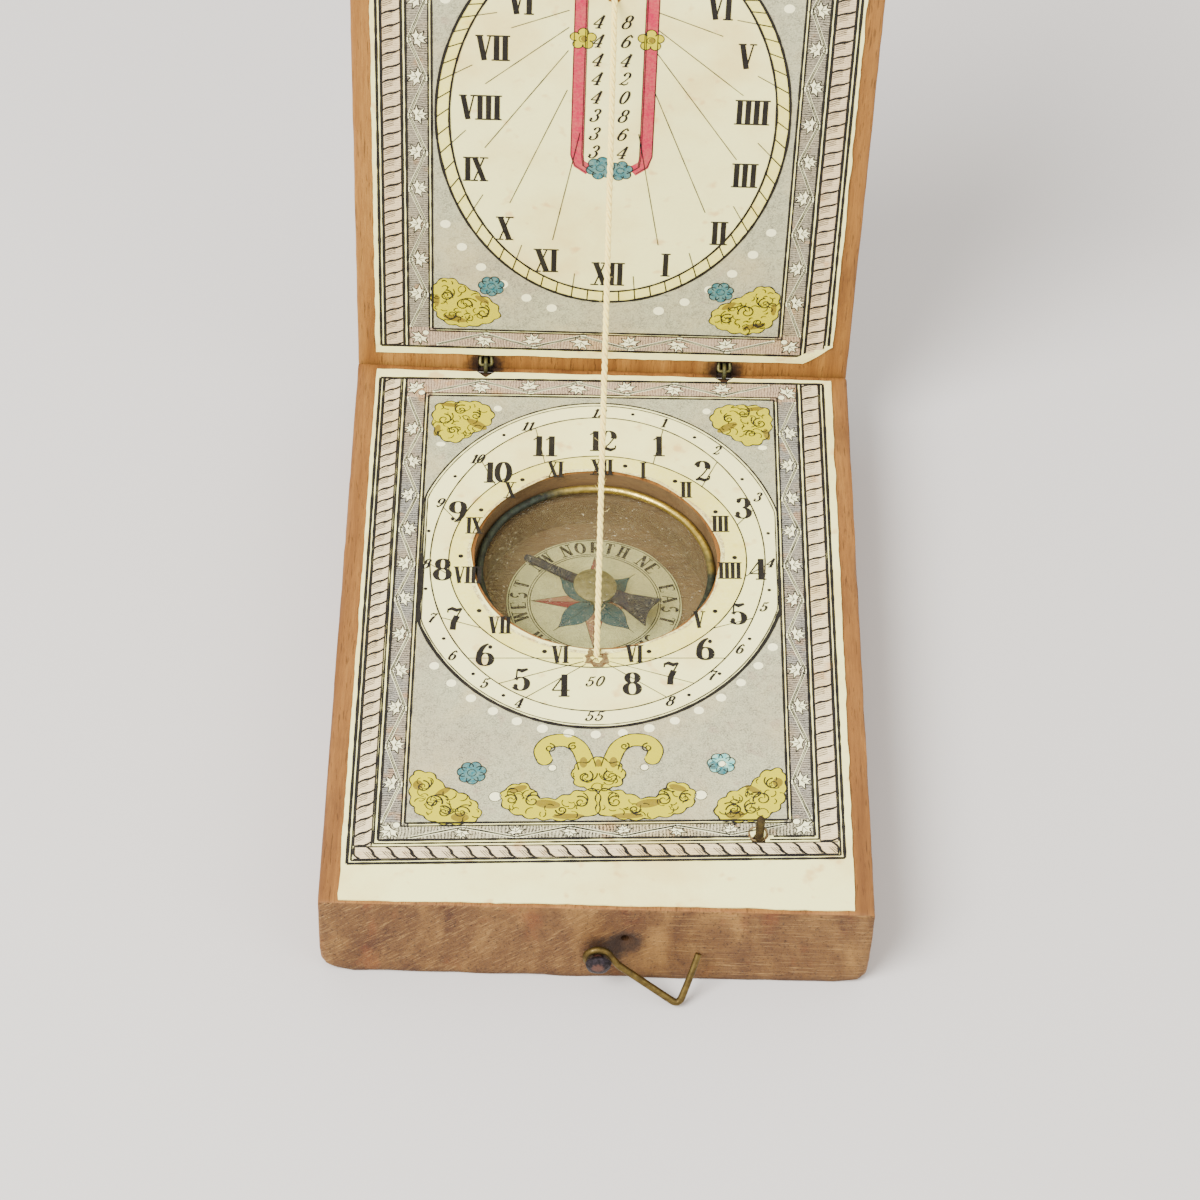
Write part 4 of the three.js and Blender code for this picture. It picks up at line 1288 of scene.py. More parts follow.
def print_base():
    grey, cream, yellow_ring = Sketch(GREY_GROUND), Sketch(RING_CREAM), Sketch(RING_YELLOW)
    white, paint, shade, teal = Sketch(BARE_WHITE), Sketch(YELLOW), Sketch(YELLOW_SHADE), Sketch(TEAL)
    ink, fine, figures, teal_faint = Sketch(INK_BLACK), Sketch(INK_FINE), Sketch(INK_BLACK), Sketch(TEAL_FAINT)
    rope_tint, band = Sketch(ROPE_PINK), Sketch(BAND_GREY)
    band_top, band_low = Sketch(BAND_PINK), Sketch(BAND_UPRIGHT)
    left, right, low, high = -24.4, 24.25, -69.9, -1.8
    field_left, field_right, field_low, field_high = -19.0, 18.8, -64.9, -4.45

    # frame lines
    box_line(ink, left, right, low, high, 0.31)
    ink.line((left + 0.38, low + 0.38), (left + 0.38, high), 0.19, ragged=0.5)
    ink.line((right - 0.38, low + 0.38), (right - 0.38, high), 0.19, ragged=0.5)
    ink.line((left + 0.38, low + 0.38), (right - 0.38, low + 0.38), 0.19, ragged=0.5)
    for inset, width in ((2.46, 0.20), (2.88, 0.29)):
        ink.line((left + inset, low + inset), (left + inset, high), width, ragged=0.5)
        ink.line((right - inset, low + inset), (right - inset, high), width, ragged=0.5)
        ink.line((left + inset, low + inset), (right - inset, low + inset), width, ragged=0.5)
    box_line(ink, field_left, field_right, field_low, field_high, 0.25)
    box_line(ink, field_left - 0.36, field_right + 0.36, field_low - 0.36, field_high + 0.36, 0.18)

    # bands
    rope(rope_tint, ink, low + 2.2, high - 0.1, left + 0.5, left + 2.3, True, 1.68, 1.05)
    rope(rope_tint, ink, low + 2.2, high - 0.1, right - 2.4, right - 0.5, True, 2.05, 0.75)
    rope(rope_tint, ink, left + 0.6, right - 0.6, low + 0.5, low + 2.1, False, 1.88, -1.35)
    vine(band, white, fine, low + 5.1, high - 2.9, left + 3.0, field_left - 0.45, True)
    vine(band, white, fine, low + 5.1, high - 2.9, field_right + 0.45, right - 3.0, True, -1)
    vine(band_top, white, fine, field_left + 0.4, field_right - 0.4, field_high + 0.45, high - 0.15, False)
    vine(band_low, white, fine, field_left + 0.4, field_right - 0.4, low + 3.0, field_low - 0.45, False)
    for x, y, heading in (
        (left + 4.0, high - 1.6, 2.3), (right - 4.0, high - 1.6, 0.8),
        (left + 4.0, low + 4.1, -2.3), (right - 4.0, low + 4.1, -0.8),
    ):
        ground = band_top if y > -10 else band_low
        near, far = (left + 3.0, field_left + 0.42) if x < 0 else (field_right - 0.42, right - 3.0)
        ground.grid(near, far, y - (1.32 if y > -10 else 1.08), y + (1.46 if y > -10 else 1.02))
        leaf_sprig(white, fine, x, y, 1.25, heading)

    # field and hour ring
    oval = clipped_oval(BASE_OVAL, 20.0, 23.6, 18.75)
    outline = field_outline(BASE_OVAL[1], 18.85, field_left, field_right, field_low, field_high)
    grey.between(outline, oval)
    middle_oval = clipped_oval(BASE_OVAL, 17.6, 21.35, 18.75)
    circle = clipped_oval(BASE_OVAL, 15.65, 15.4, 18.75)
    rim = clipped_oval((WELL.x, WELL_ALONG), WELL_RADIUS + 0.45, WELL_RADIUS + 0.45, 18.75)
    cream.between(oval, middle_oval)
    yellow_ring.between(circle, rim)
    ink.stroke(oval, lambda share, rise: 0.36 if share > 0.5 else 0.18, closed=True, ragged=0.4)
    ink.stroke(clipped_oval(BASE_OVAL, 19.7, 23.2, 18.5), 0.11, closed=True, ragged=0.6)
    fine.stroke(middle_oval, 0.14, closed=True, ragged=0.4)
    fine.stroke(circle, 0.13, closed=True, ragged=0.4)

    # hour lines, figures and half-hour dots
    for side in (-1, 1):
        for hours in range(0 if side > 0 else 1, 9):
            turn = base_hour_turn(hours)
            direction = (side * math.sin(turn), math.cos(turn))
            if hours:
                start = meets_oval(FOOT, direction, BASE_OVAL, 15.7, 15.4)
                if hours > 5:
                    start = (FOOT[0] + direction[0] * 1.4, FOOT[1] + direction[1] * 1.4)
                fine.line(start, meets_oval(FOOT, direction, BASE_OVAL, 17.6, 21.35), 0.085, ragged=0.5)
            half = base_hour_turn(hours + 0.5)
            ahead = (side * math.sin(half), math.cos(half))
            if hours < 8:
                x, y = meets_oval(FOOT, ahead, BASE_OVAL, 18.3, 22.4)
                figures.disc(min(max(x, -18.2), 18.2), y, 0.2)
            if hours < 6:
                x, y = meets_oval(FOOT, ahead, BASE_OVAL, 14.4, 14.2)
                figures.disc(x, y, 0.26)
    for text, (x, y) in BASE_FIGURES.items():
        write(figures, text.strip(), x, y, 3.15, 0.20, 0.98, gap=-0.04)
    for text, (x, y) in BASE_SMALL_FIGURES.items():
        write(figures, text.strip(), x, y, 1.35, 0.20, 0.95, lean=0.35)
    for text, (x, y) in BASE_ROMANS.items():
        write(figures, text.strip(), x, y, 2.35, 0.17, 0.86)
    write(figures, "50", FOOT[0], FOOT[1] - 3.2, 1.4, 0.15, 1.0, lean=0.35, gap=0.1)
    write(figures, "55", FOOT[0], FOOT[1] - 7.9, 1.4, 0.15, 1.0, lean=0.35, gap=0.1)

    # white dots under the ring
    for i in range(-9, 10):
        t = math.radians(270 + i * 7.4)
        x, y = BASE_OVAL[0] + 21.1 * math.cos(t), BASE_OVAL[1] + 24.5 * math.sin(t)
        if abs(x) < 17.9:
            radius = 0.52 + 0.08 * noise.noise(Vector((i * 1.7, 3, 0)))
            white.disc(x + 0.15 * noise.noise(Vector((i, 0, 0))), y, radius)

    # painted ornaments
    for side in (-1, 1):
        scrollwork(paint, shade, fine, FRONT_CORNER, FRONT_CURLS, FRONT_SHADES, side)
        scrollwork(paint, shade, fine, BACK_CORNER, BACK_CURLS, BACK_SHADES, side)
        scrollwork(paint, shade, fine, SWAG, SWAG_CURLS, SWAG_SHADES, side)
        arch_scroll(paint, shade, white, fine, side)
        white.disc(side * 11.4, -6.4, 0.45)
        white.disc(side * 17.4, -12.0, 0.5, 0.35)
    scrollwork(paint, shade, fine, HEART, HEART_CURLS, HEART_SHADES)
    paint.disc(-0.1, -60.5, 0.55)
    fine.stroke(arc(-0.1, -60.5, 0.55, 0.55, 0, 350), 0.07)
    rosette(teal, fine, white, -12.6, -58.5, 1.45, 7)
    rosette(teal_faint, fine, white, 12.3, -57.5, 1.4, 7)
    teal.disc(11.5, -57.7, 0.55)
    teal.disc(12.4, -58.4, 0.5)

    for sketch in (band, band_low, white, fine, ink):
        sketch.punch(peg_mid.x, PEG_ALONG - 0.1, 0.66)
    for sketch, name, height in (
        (grey, "base_grey_ground", 0.004), (cream, "base_ring_wash", 0.005),
        (yellow_ring, "base_inner_ring_wash", 0.005),
        (rope_tint, "base_rope_tint", 0.004), (band, "base_vine_sides", 0.005), (band_top, "base_vine_top", 0.005),
        (band_low, "base_vine_front", 0.005), (white, "base_white_figures", 0.010),
        (paint, "base_yellow_scrolls", 0.017),
        (shade, "base_yellow_shading", 0.024), (teal_faint, "base_faint_flower", 0.015),
        (teal, "base_teal_flowers", 0.020), (fine, "base_fine_ink", 0.029),
        (ink, "base_ink_lines", 0.033), (figures, "base_numerals", 0.038),
    ):
        sketch.lay(name, "base", height)


def print_lid():
    grey, cream = Sketch(GREY_GROUND), Sketch(RING_YELLOW)
    white, paint, shade = Sketch(BARE_WHITE), Sketch(YELLOW), Sketch(YELLOW_SHADE)
    teal, pink = Sketch(TEAL), Sketch(PINK)
    ink, fine, figures = Sketch(INK_BLACK), Sketch(INK_FINE), Sketch(INK_BLACK)
    rope_tint, band, band_low = Sketch(ROPE_PINK_LID), Sketch(BAND_GREY_LID), Sketch(BAND_PINK)
    left, right, low, high = -24.4, 24.65, 2.8, 70.3
    field_left, field_right, field_low, field_high = -18.75, 19.1, 5.45, 65.2

    box_line(ink, left, right, low, high, 0.30)
    for inset, width in ((0.40, 0.19), (2.60, 0.20), (3.0, 0.27)):
        ink.line((left + inset, low), (left + inset, high - inset), width, ragged=0.5)
        ink.line((right - inset, low), (right - inset, high - inset), width, ragged=0.5)
        ink.line((left + inset, high - inset), (right - inset, high - inset), width, ragged=0.5)
    box_line(ink, field_left, field_right, field_low, field_high, 0.25)
    box_line(ink, field_left - 0.36, field_right + 0.36, field_low - 0.3, field_high + 0.36, 0.18)
    rope(rope_tint, ink, low + 0.1, high - 2.2, left + 0.5, left + 2.5, True, 1.75, 0.9)
    rope(rope_tint, ink, low + 0.1, high - 2.2, right - 2.5, right - 0.5, True, 1.8, 0.75)
    rope(rope_tint, ink, left + 0.6, right - 0.6, high - 2.05, high - 0.5, False, 1.88, 1.35)
    vine(band, white, fine, low + 2.8, high - 5.1, left + 3.1, field_left - 0.45, True)
    vine(band, white, fine, low + 2.8, high - 5.1, field_right + 0.45, right - 3.1, True, -1)
    vine(band_low, white, fine, field_left + 0.4, field_right - 0.4, low + 0.15, field_low - 0.4, False)
    vine(band_low, white, fine, field_left + 0.4, field_right - 0.4, field_high + 0.45, high - 3.1, False)
    for x, y, heading in (
        (left + 4.3, low + 1.4, -2.3), (right - 4.3, low + 1.4, -0.8),
        (left + 4.3, high - 4.2, 2.3), (right - 4.3, high - 4.2, 0.8),
    ):
        near, far = (left + 3.1, field_left + 0.42) if x < 0 else (field_right - 0.42, right - 3.1)
        band_low.grid(near, far, y - (1.25 if y < 10 else 0.92), y + (1.42 if y < 10 else 1.12))
        leaf_sprig(white, fine, x, y, 1.2, heading)

    oval = clipped_oval(LID_OVAL, 18.35, 25.4, 19.0)
    inner = clipped_oval(LID_OVAL, 16.95, 23.9, 19.0)
    outline = field_outline(LID_OVAL[1], 19.0, field_left, field_right, field_low, field_high)
    grey.between(outline, oval)
    cream.between(oval, inner)
    ink.stroke(oval, 0.30, closed=True, ragged=0.4)
    ink.stroke(inner, 0.23, closed=True, ragged=0.4)

    # hour lines, ticks and roman hours
    for side in (-1, 1):
        for quarter in range(0 if side > 0 else 1, 29):
            hours = quarter / 4
            turn = lid_hour_turn(hours)
            direction = (side * math.sin(turn), -math.cos(turn))
            outer = meets_oval(HEAD, direction, LID_OVAL, 18.3, 25.3)
            tick = meets_oval(HEAD, direction, LID_OVAL, 16.95, 23.9)
            fine.line(tick, outer, 0.13)
            if quarter % 4 == 2 and hours < 6:
                fine.line(meets_oval(HEAD, direction, LID_OVAL, 15.3, 22.0), tick, 0.09)
            if quarter % 4 == 0 and 0 < hours <= 6:
                clear = 4.5 / max(math.sin(turn), 0.25)
                start = (HEAD[0] + direction[0] * clear, HEAD[1] + direction[1] * clear)
                end = meets_oval(HEAD, direction, LID_OVAL, 13.6, 18.6)
                fine.line(start, end, 0.09, ragged=0.5)

    for text, (x, y) in LID_ROMANS.items():
        write(figures, text.strip(), x, y, 3.2, 0.175, 0.92)

    # the plaque of latitude figures between two pink bars
    for side in (-1, 1):
        bar = [(side * 3.65, 62.5), (side * 3.65, 30.6), (side * 3.35, 29.4), (side * 2.2, 28.5)]
        pink.stroke(bar, lambda share, rise: 1.35, ragged=0.04)
        for offset in (-0.72, -0.55, 0.60):
            edge = [(x + side * offset, y) for x, y in bar[:2]]
            edge += [(x + side * offset * 0.7, y - abs(offset) * 0.4) for x, y in bar[2:]]
            fine.stroke(edge, 0.075, ragged=0.5)
        rosette(paint, fine, shade, side * 3.45 + 0.1, 45.9, 1.35, 5)
        rosette(paint, fine, shade, side * 3.45 + 0.1, 61.6, 1.3, 5)
    rosette(teal, fine, white, -1.1, 28.9, 1.5)
    rosette(teal, fine, white, 1.0, 28.6, 1.3)
    rosette(teal, fine, white, 0.0, 62.2, 1.6)
    for row in range(13):
        figure, height = 34 + 2 * row, 31.1 + 2.44 * row
        if abs(height - HEAD[1]) < 1.0:
            continue
        write(figures, str(figure)[0], -1.75, height, 1.75, 0.15, 0.95, lean=0.35)
        write(figures, str(figure)[1], 1.15, height, 1.75, 0.15, 0.95, lean=0.35)
    for side in (-1, 1):
        figures.disc(FOOT[0] + side * 1.6, HEAD[1] - 0.2, 0.13)

    for i in range(-9, 10):
        for end in (270, 90):
            t = math.radians(end + i * 8.2)
            x, y = LID_OVAL[0] + 20.6 * math.cos(t), LID_OVAL[1] + 27.7 * math.sin(t)
            if abs(x) < 17.9 and abs(i) > 1:
                white.disc(x, y, 0.55 + 0.1 * noise.noise(Vector((i * 1.7, end, 0))))
    for side in (-1, 1):
        for flip in (None, 70.6):
            scrollwork(paint, shade, fine, LID_CORNER, LID_CURLS, LID_SHADES, side, flip)
            y = 11.9 if flip is None else flip - 11.9
            rosette(teal, fine, white, side * 12.4, y, 1.4, 7)

    for sketch in (band, band_low, white, fine, ink):
        sketch.punch(peg_mid.x, hinge.z + hinge.y - peg_mid.y - base_high.z, 0.9)
    for sketch in (rope_tint, band, band_low, white, fine, ink):
        sketch.punch(lid_paper_high.x + 0.7, lid_paper_low.z - base_high.z - 1.0, 3.5)
    for sketch, name, height in (
        (grey, "lid_grey_ground", 0.004), (cream, "lid_ring_wash", 0.005), (rope_tint, "lid_rope_tint", 0.004),
        (band, "lid_vine_sides", 0.005), (band_low, "lid_vine_ends", 0.005), (white, "lid_white_figures", 0.010),
        (pink, "lid_pink_bars", 0.012), (paint, "lid_yellow_scrolls", 0.017), (shade, "lid_yellow_shading", 0.024),
        (teal, "lid_teal_flowers", 0.018), (fine, "lid_fine_ink", 0.029), (ink, "lid_ink_lines", 0.033),
        (figures, "lid_numerals", 0.038),
    ):
        sketch.lay(name, "lid", height)


def print_rose():
    red, teal, pale, ink = Sketch(ROSE_RED), Sketch(ROSE_TEAL), Sketch(ROSE_PALE), Sketch(INK_FINE)
    for i in range(8):
        heading = math.pi / 2 - i * math.pi / 4
        cardinal = i % 2 == 0
        reach, half, shoulder = (6.7, 1.15, 1.7) if cardinal else (6.1, 1.3, 3.4)
        along = (math.cos(heading), math.sin(heading))
        for side in (-1, 1):
            across = (-along[1] * side, along[0] * side)
            curve = [(0.0, 0.0)]
            for step in range(1, 9):
                t = step / 8
                if cardinal:
                    out = half * min(t * reach / shoulder, (1 - t) / (1 - shoulder / reach))
                else:
                    out = half * math.sin(math.pi * min(t * 1.25, 1.0)) ** 0.8 + 0.15 * (1 - t)
                out = max(out, 0.0) if step < 8 else 0.0
                curve.append((along[0] * reach * t + across[0] * out, along[1] * reach * t + across[1] * out))
            fill = (red if cardinal else teal) if side > 0 or not cardinal else pale
            fill.fill(curve + [(along[0] * reach * 0.5, along[1] * reach * 0.5)])
            ink.stroke(curve, 0.05, ragged=0.4)
        ink.line((0, 0), (along[0] * reach, along[1] * reach), 0.05)
    for radius, width in ((6.85, 0.10), (7.1, 0.08), (9.15, 0.10)):
        ink.stroke(arc(0, 0, radius, radius, 0, 355, 71), width, closed=True, ragged=0.5)
    for text, bearing, spread in (
        ("NORTH", 0, 13), ("NE", 45, 11), ("EAST", 90, 13), ("SE", 135, 11), ("SOUTH", 180, 13), ("SW", 225, 11),
        ("WEST", 270, 13), ("NW", 315, 11),
    ):
        for i, sign in enumerate(text):
            turn = math.radians(90 - bearing - (i - (len(text) - 1) / 2) * spread * 0.86)
            x, y = 8.1 * math.cos(turn), 8.1 * math.sin(turn)
            write(ink, sign, x, y, 1.6, 0.22, 1.15, turn=turn - math.pi / 2)
    for sketch, name, height in (
        (red, "rose_red_points", 0.006), (pale, "rose_pale_points", 0.006), (teal, "rose_teal_points", 0.010),
        (ink, "rose_ink", 0.016),
    ):
        sketch.lay(name, "rose", height)


# ---- worn wood -------------------------------------------------------------------------------
EDGE_REACH = 1.7


def edge_steps(low, high, spacing):
    """Cuts along one side of a block, close together at its rounded ends."""
    near = [low + EDGE_REACH * share for share in (0, 0.12, 0.3, 0.6, 1.0)]
    far = [high - EDGE_REACH * share for share in (1.0, 0.6, 0.3, 0.12, 0)]
    count = max(1, round((far[0] - near[-1]) / spacing))
    return near + [near[-1] + (far[0] - near[-1]) * i / count for i in range(1, count)] + far


def worn_block(low, high, wear, knocked=()):
    """A block with unevenly rounded edges. knocked has (place, radius, reach) of each blunted corner."""
    cuts = [edge_steps(low[i], high[i], 1.7) for i in range(3)]
    found, points, faces = {}, [], []

    def corner(steps):
        if steps not in found:
            spot = Vector([cuts[i][steps[i]] for i in range(3)])
            radius = wear * (0.8 + 1.1 * noise.noise(spot * 0.23) + 0.5 * noise.noise(spot * 0.9))
            for place, more, reach in knocked:
                radius += more * max(0.0, 1 - (spot - Vector(place)).length / reach)
            radius = min(max(radius, 0.12), EDGE_REACH)
            core = Vector([min(max(spot[i], low[i] + radius), high[i] - radius) for i in range(3)])
            away = spot - core
            dip = 0.07 * abs(noise.noise(spot * 0.4))
            found[steps] = len(points)
            points.append(core + away.normalized() * (radius - dip) if away.length > 1e-6 else spot)
        return found[steps]

    for axis in range(3):
        a, b = (axis + 1) % 3, (axis + 2) % 3
        for end in (0, len(cuts[axis]) - 1):
            for i in range(len(cuts[a]) - 1):
                for j in range(len(cuts[b]) - 1):
                    square = []
                    for di, dj in ((0, 0), (1, 0), (1, 1), (0, 1)):
                        steps = [0, 0, 0]
                        steps[axis], steps[a], steps[b] = end, i + di, j + dj
                        square.append(corner(tuple(steps)))
                    faces.append(tuple(square if end else reversed(square)))
    return points, faces


def carved(name, shape, tools, materials, body, replaced):
    """A block with round holes cut out of it; a hole's wall takes its tool's material number."""
    def solid(points, faces, number=0):
        mesh = bpy.data.meshes.new("block")
        mesh.from_pydata([Vector(p) for p in points], [], faces)
        for material in materials:
            mesh.materials.append(material)
        mesh.polygons.foreach_set("material_index", [number] * len(faces))
        return in_scene("block", mesh)

    block = solid(*shape)
    cutters = [solid(*tool) for tool in tools]
    for cutter in cutters:
        cut = block.modifiers.new("cut", "BOOLEAN")
        cut.operation = "DIFFERENCE"
        cut.solver = "EXACT"
        cut.object = cutter
    mesh = bpy.data.meshes.new_from_object(block.evaluated_get(bpy.context.evaluated_depsgraph_get()))
    for spare in [block] + cutters:
        spare_mesh = spare.data
        bpy.data.objects.remove(spare)
        bpy.data.meshes.remove(spare_mesh)
    mesh.name = name
    mesh.transform(Matrix.Scale(MM, 4))
    mesh.shade_smooth()
    mesh.set_sharp_from_angle(angle=math.radians(38))
    made = in_scene(name, mesh)
    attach(made, body)
    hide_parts(replaced)


def bored(place, along, start, end, radius, sides=24, taper=None, number=0):
    """The tool for a round hole, from start to end along a direction from a place."""
    ends = [Vector(place) + along * reach for reach in (start, end)]
    return (*tube(ends, radius, sides, taper=taper), number)


def hinge_scoops():
    """The hollows round the hinge eyes, which both boards have."""
    wide = SCOOP_HALF_WIDTH
    return [bored((x, hinge.y, hinge.z), ACROSS, -wide, wide, SCOOP_RADIUS, 28) for x in hinge_x]


def add_base_wood():
    top = base_high.z
    well, foot = (WELL.x, WELL.y, top), (THREAD_X, THREAD_FOOT, top)
    tools = [
        bored(well, UP, -LEDGE_DEPTH, 2, WELL_RADIUS, 96, number=1),
        bored(well, UP, -WELL_DEPTH, 0.1 - LEDGE_DEPTH, WELL_FLOOR_RADIUS, 96, number=1),
        bored(foot, UP, 1 - top, 1, THREAD_HOLE_RADIUS),
        bored(foot, UP, -0.5, 0.3, THREAD_HOLE_RADIUS, taper=lambda t: 1 + 0.9 * t),
        bored(foot, UP, -1 - top, KNOT_POCKET_DEPTH - top, KNOT_POCKET_RADIUS, 32),
        bored((peg_mid.x, peg_mid.y, top), UP, -4, 1, PEG_RADIUS + 0.09),
        bored((nail_axis.x, base_low.y, nail_axis.z), BACK, -1, 7, 0.55),
        bored(SPARE_HOLE, BACK, -0.6, 1.4, 0.42),
        bored(SPARE_HOLE, BACK, -0.3, 0.6, 1.8, 20, taper=lambda t: 1 - 0.7 * t),
    ]
    knocked = [(tuple(base_low), 1.35, 3.2), ((base_high.x, base_low.y, base_low.z), 0.9, 2.8)]
    shape = worn_block(base_low, base_high, 0.42, knocked)
    carved("base_board", shape, tools + hinge_scoops(), [BASE_WOOD, WELL_WOOD], "base", "base_leaf")


def add_lid_wood():
    face, back = lid_low.y, lid_high.y
    head = (THREAD_X, face, THREAD_TOP)
    tools = [
        bored(head, BACK, -1, back - face + 1, THREAD_HOLE_RADIUS),
        bored(head, BACK, -0.3, 0.5, 0.95, taper=lambda t: 1 - 0.45 * t),
        bored((peg_mid.x, face, PEG_HOLE_HEIGHT), BACK, -1, 3.4, PEG_RADIUS + 0.3),
        bored((nail_axis.x, (face + back) / 2, lid_high.z), UP, 1, -3.2, 0.6),
    ]
    shape = worn_block(lid_low - UP * LID_END_DROP, lid_high, 0.4)
    carved("lid_board", shape, tools + hinge_scoops(), [LID_WOOD], "lid", "lid_leaf")


# ---- papers ----------------------------------------------------------------------------------
def ragged_line(points, rag, spacing=0.7):
    """A closed line with its sides cut slightly unevenly."""
    line = []
    for start, end in zip(points, points[1:] + points[:1]):
        count = max(1, round(math.dist(start, end) / spacing))
        across = ((end[1] - start[1]) / math.dist(start, end), (start[0] - end[0]) / math.dist(start, end))
        for i in range(count):
            x, y = (start[k] + (end[k] - start[k]) * i / count for k in (0, 1))
            broad, fine = Vector((x * 0.35, y * 0.35, 7)), Vector((x * 1.7, y * 1.7, 3))
            push = rag * (noise.noise(broad) + 0.5 * noise.noise(fine))
            line.append((x + across[0] * push, y + across[1] * push))
    return line


def ragged_round(x, y, radius, rag, count=72):
    points = []
    for i in range(count):
        t = 2 * math.pi * i / count
        reach = radius + rag * noise.noise(Vector((3 * math.cos(t), 3 * math.sin(t), radius)))
        points.append((x + reach * math.cos(t), y + reach * math.sin(t)))
    return points


def cut_sheet(loops, low, high):
    """Points (x, y, height) and faces of a thin sheet: first its outline, then its holes."""
    net = bmesh.new()
    sides = []
    for number, loop in enumerate(loops):
        area = sum(a[0] * b[1] - b[0] * a[1] for a, b in zip(loop, loop[1:] + loop[:1]))
        if (area < 0) == (number == 0):
            loop = loop[::-1]
        start = len(net.verts)
        corners = [net.verts.new((x, y, 0)) for x, y in loop]
        for a, b in zip(corners, corners[1:] + corners[:1]):
            net.edges.new((a, b))
        sides += [(start + i, start + (i + 1) % len(loop)) for i in range(len(loop))]
    bmesh.ops.triangle_fill(net, use_beauty=True, edges=net.edges[:], normal=(0, 0, 1))
    net.verts.index_update()
    net.normal_update()
    count = len(net.verts)
    flat = [tuple(v.co.xy) for v in net.verts]
    points = [(*p, high) for p in flat] + [(*p, low) for p in flat]
    faces = []
    for face in net.faces:
        corners = [v.index for v in face.verts]
        if face.normal.z < 0:
            corners.reverse()
        faces.append(tuple(corners))
        faces.append(tuple(count + i for i in reversed(corners)))
    faces += [(count + a, count + b, b, a) for a, b in sides]
    net.free()
    return points, faces


def add_papers():
    left, right = base_paper_low.x, base_paper_high.x
    back, front = base_paper_high.y - hinge.y, base_paper_low.y - hinge.y
    outline = [(left, front)]
    outline += [(right - 0.1, front + 0.15), (right + 0.05, back)]
    for x in reversed(hinge_x):
        outline += [(x + 1.0, back), (x, back - 0.95), (x - 1.0, back)]
    outline += [(left + 0.1, back + 0.05)]
    holes = [
        ragged_round(WELL.x, WELL_ALONG, WELL_RADIUS + 0.3, 0.36),
        ragged_round(*FOOT, 0.6, 0.2, 20),
        ragged_round(peg_mid.x - 0.1, PEG_ALONG - 0.15, 0.72, 0.25, 16),
    ]
    points, faces = cut_sheet([ragged_line(outline, 0.12)] + holes, base_paper_low.z, base_paper_high.z)
    points = [(x, hinge.y + y, z) for x, y, z in points]
    piece("base_sheet", points, faces, OLD_PAPER, "base", "printed_paper", smooth=False, replaces="base_paper")

    low, high = lid_paper_low.z - base_high.z, lid_paper_high.z - base_high.z
    outline = [(left, low), (22.0, low - 0.05), (23.6, low + 1.1), (right, low + 2.5)]
    outline += [(right, high), (left, high - 0.1)]
    peg_height = PEG_HOLE_HEIGHT - base_high.z
    holes = [ragged_round(*HEAD, 0.85, 0.2, 20), ragged_round(peg_mid.x, peg_height, 0.75, 0.15, 16)]
    points, faces = cut_sheet([ragged_line(outline, 0.12)] + holes, 0, lid_paper_high.y - lid_paper_low.y)
    points = [(x, lid_paper_high.y - h, base_high.z + y) for x, y, h in points]
    piece("lid_sheet", points, faces, OLD_PAPER, "lid", "printed_paper", smooth=False, replaces="lid_paper")
    fold = [(21.6, low + 0.1), (23.2, low + 1.2), (22.3, low + 1.6), (20.9, low + 0.6)]
    points, faces = cut_sheet([ragged_line(fold, 0.1, 0.4)], 0.02, 0.08)
    points = [(x, lid_paper_low.y - h, base_high.z + y) for x, y, h in points]
    piece("turned_corner", points, faces, OLD_PAPER, "lid", "printed_paper", smooth=False)


def add_stains():
    """Brown grime round the well, the thread hole and the peg, over the print."""
    stain, rust = Sketch(STAIN), Sketch(THREAD_STAIN)
    outer = ragged_round(WELL.x, WELL_ALONG, WELL_RADIUS + 0.62, 0.4)
    stain.between(outer, ragged_round(WELL.x, WELL_ALONG, WELL_RADIUS + 0.34, 0.36))
    rust.between(ragged_round(*FOOT, 1.15, 0.7, 24), ragged_round(*FOOT, 0.6, 0.2, 24))
    peg = (peg_mid.x - 0.1, PEG_ALONG + 0.1)
    rust.between(ragged_round(*peg, 1.0, 0.3, 20), ragged_round(*peg, 0.8, 0.15, 20))
    stain.lay("well_rim_grime", "base", 0.040)
    dice = random.Random(11)
    fibres = []
    for _ in range(26):
        turn, reach, lift = dice.uniform(0, 6.28), dice.uniform(0.7, 1.3), dice.uniform(0.0, 0.03)
        foot = Vector((THREAD_X, THREAD_FOOT, PAPER_TOP + 0.03))
        away = Vector((math.cos(turn), math.sin(turn), 0)) * reach
        line = [foot + away * t + Vector((0, 0, lift * math.sin(2.6 * t))) for t in (0.2, 0.5, 0.8, 1.0)]
        fibres.append(tube(line, 0.022, 4))
    piece("frayed_fibres", *joined(fibres), THREAD_STAIN, "base", "thread")
    rust.lay("hole_rust", "base", 0.041)


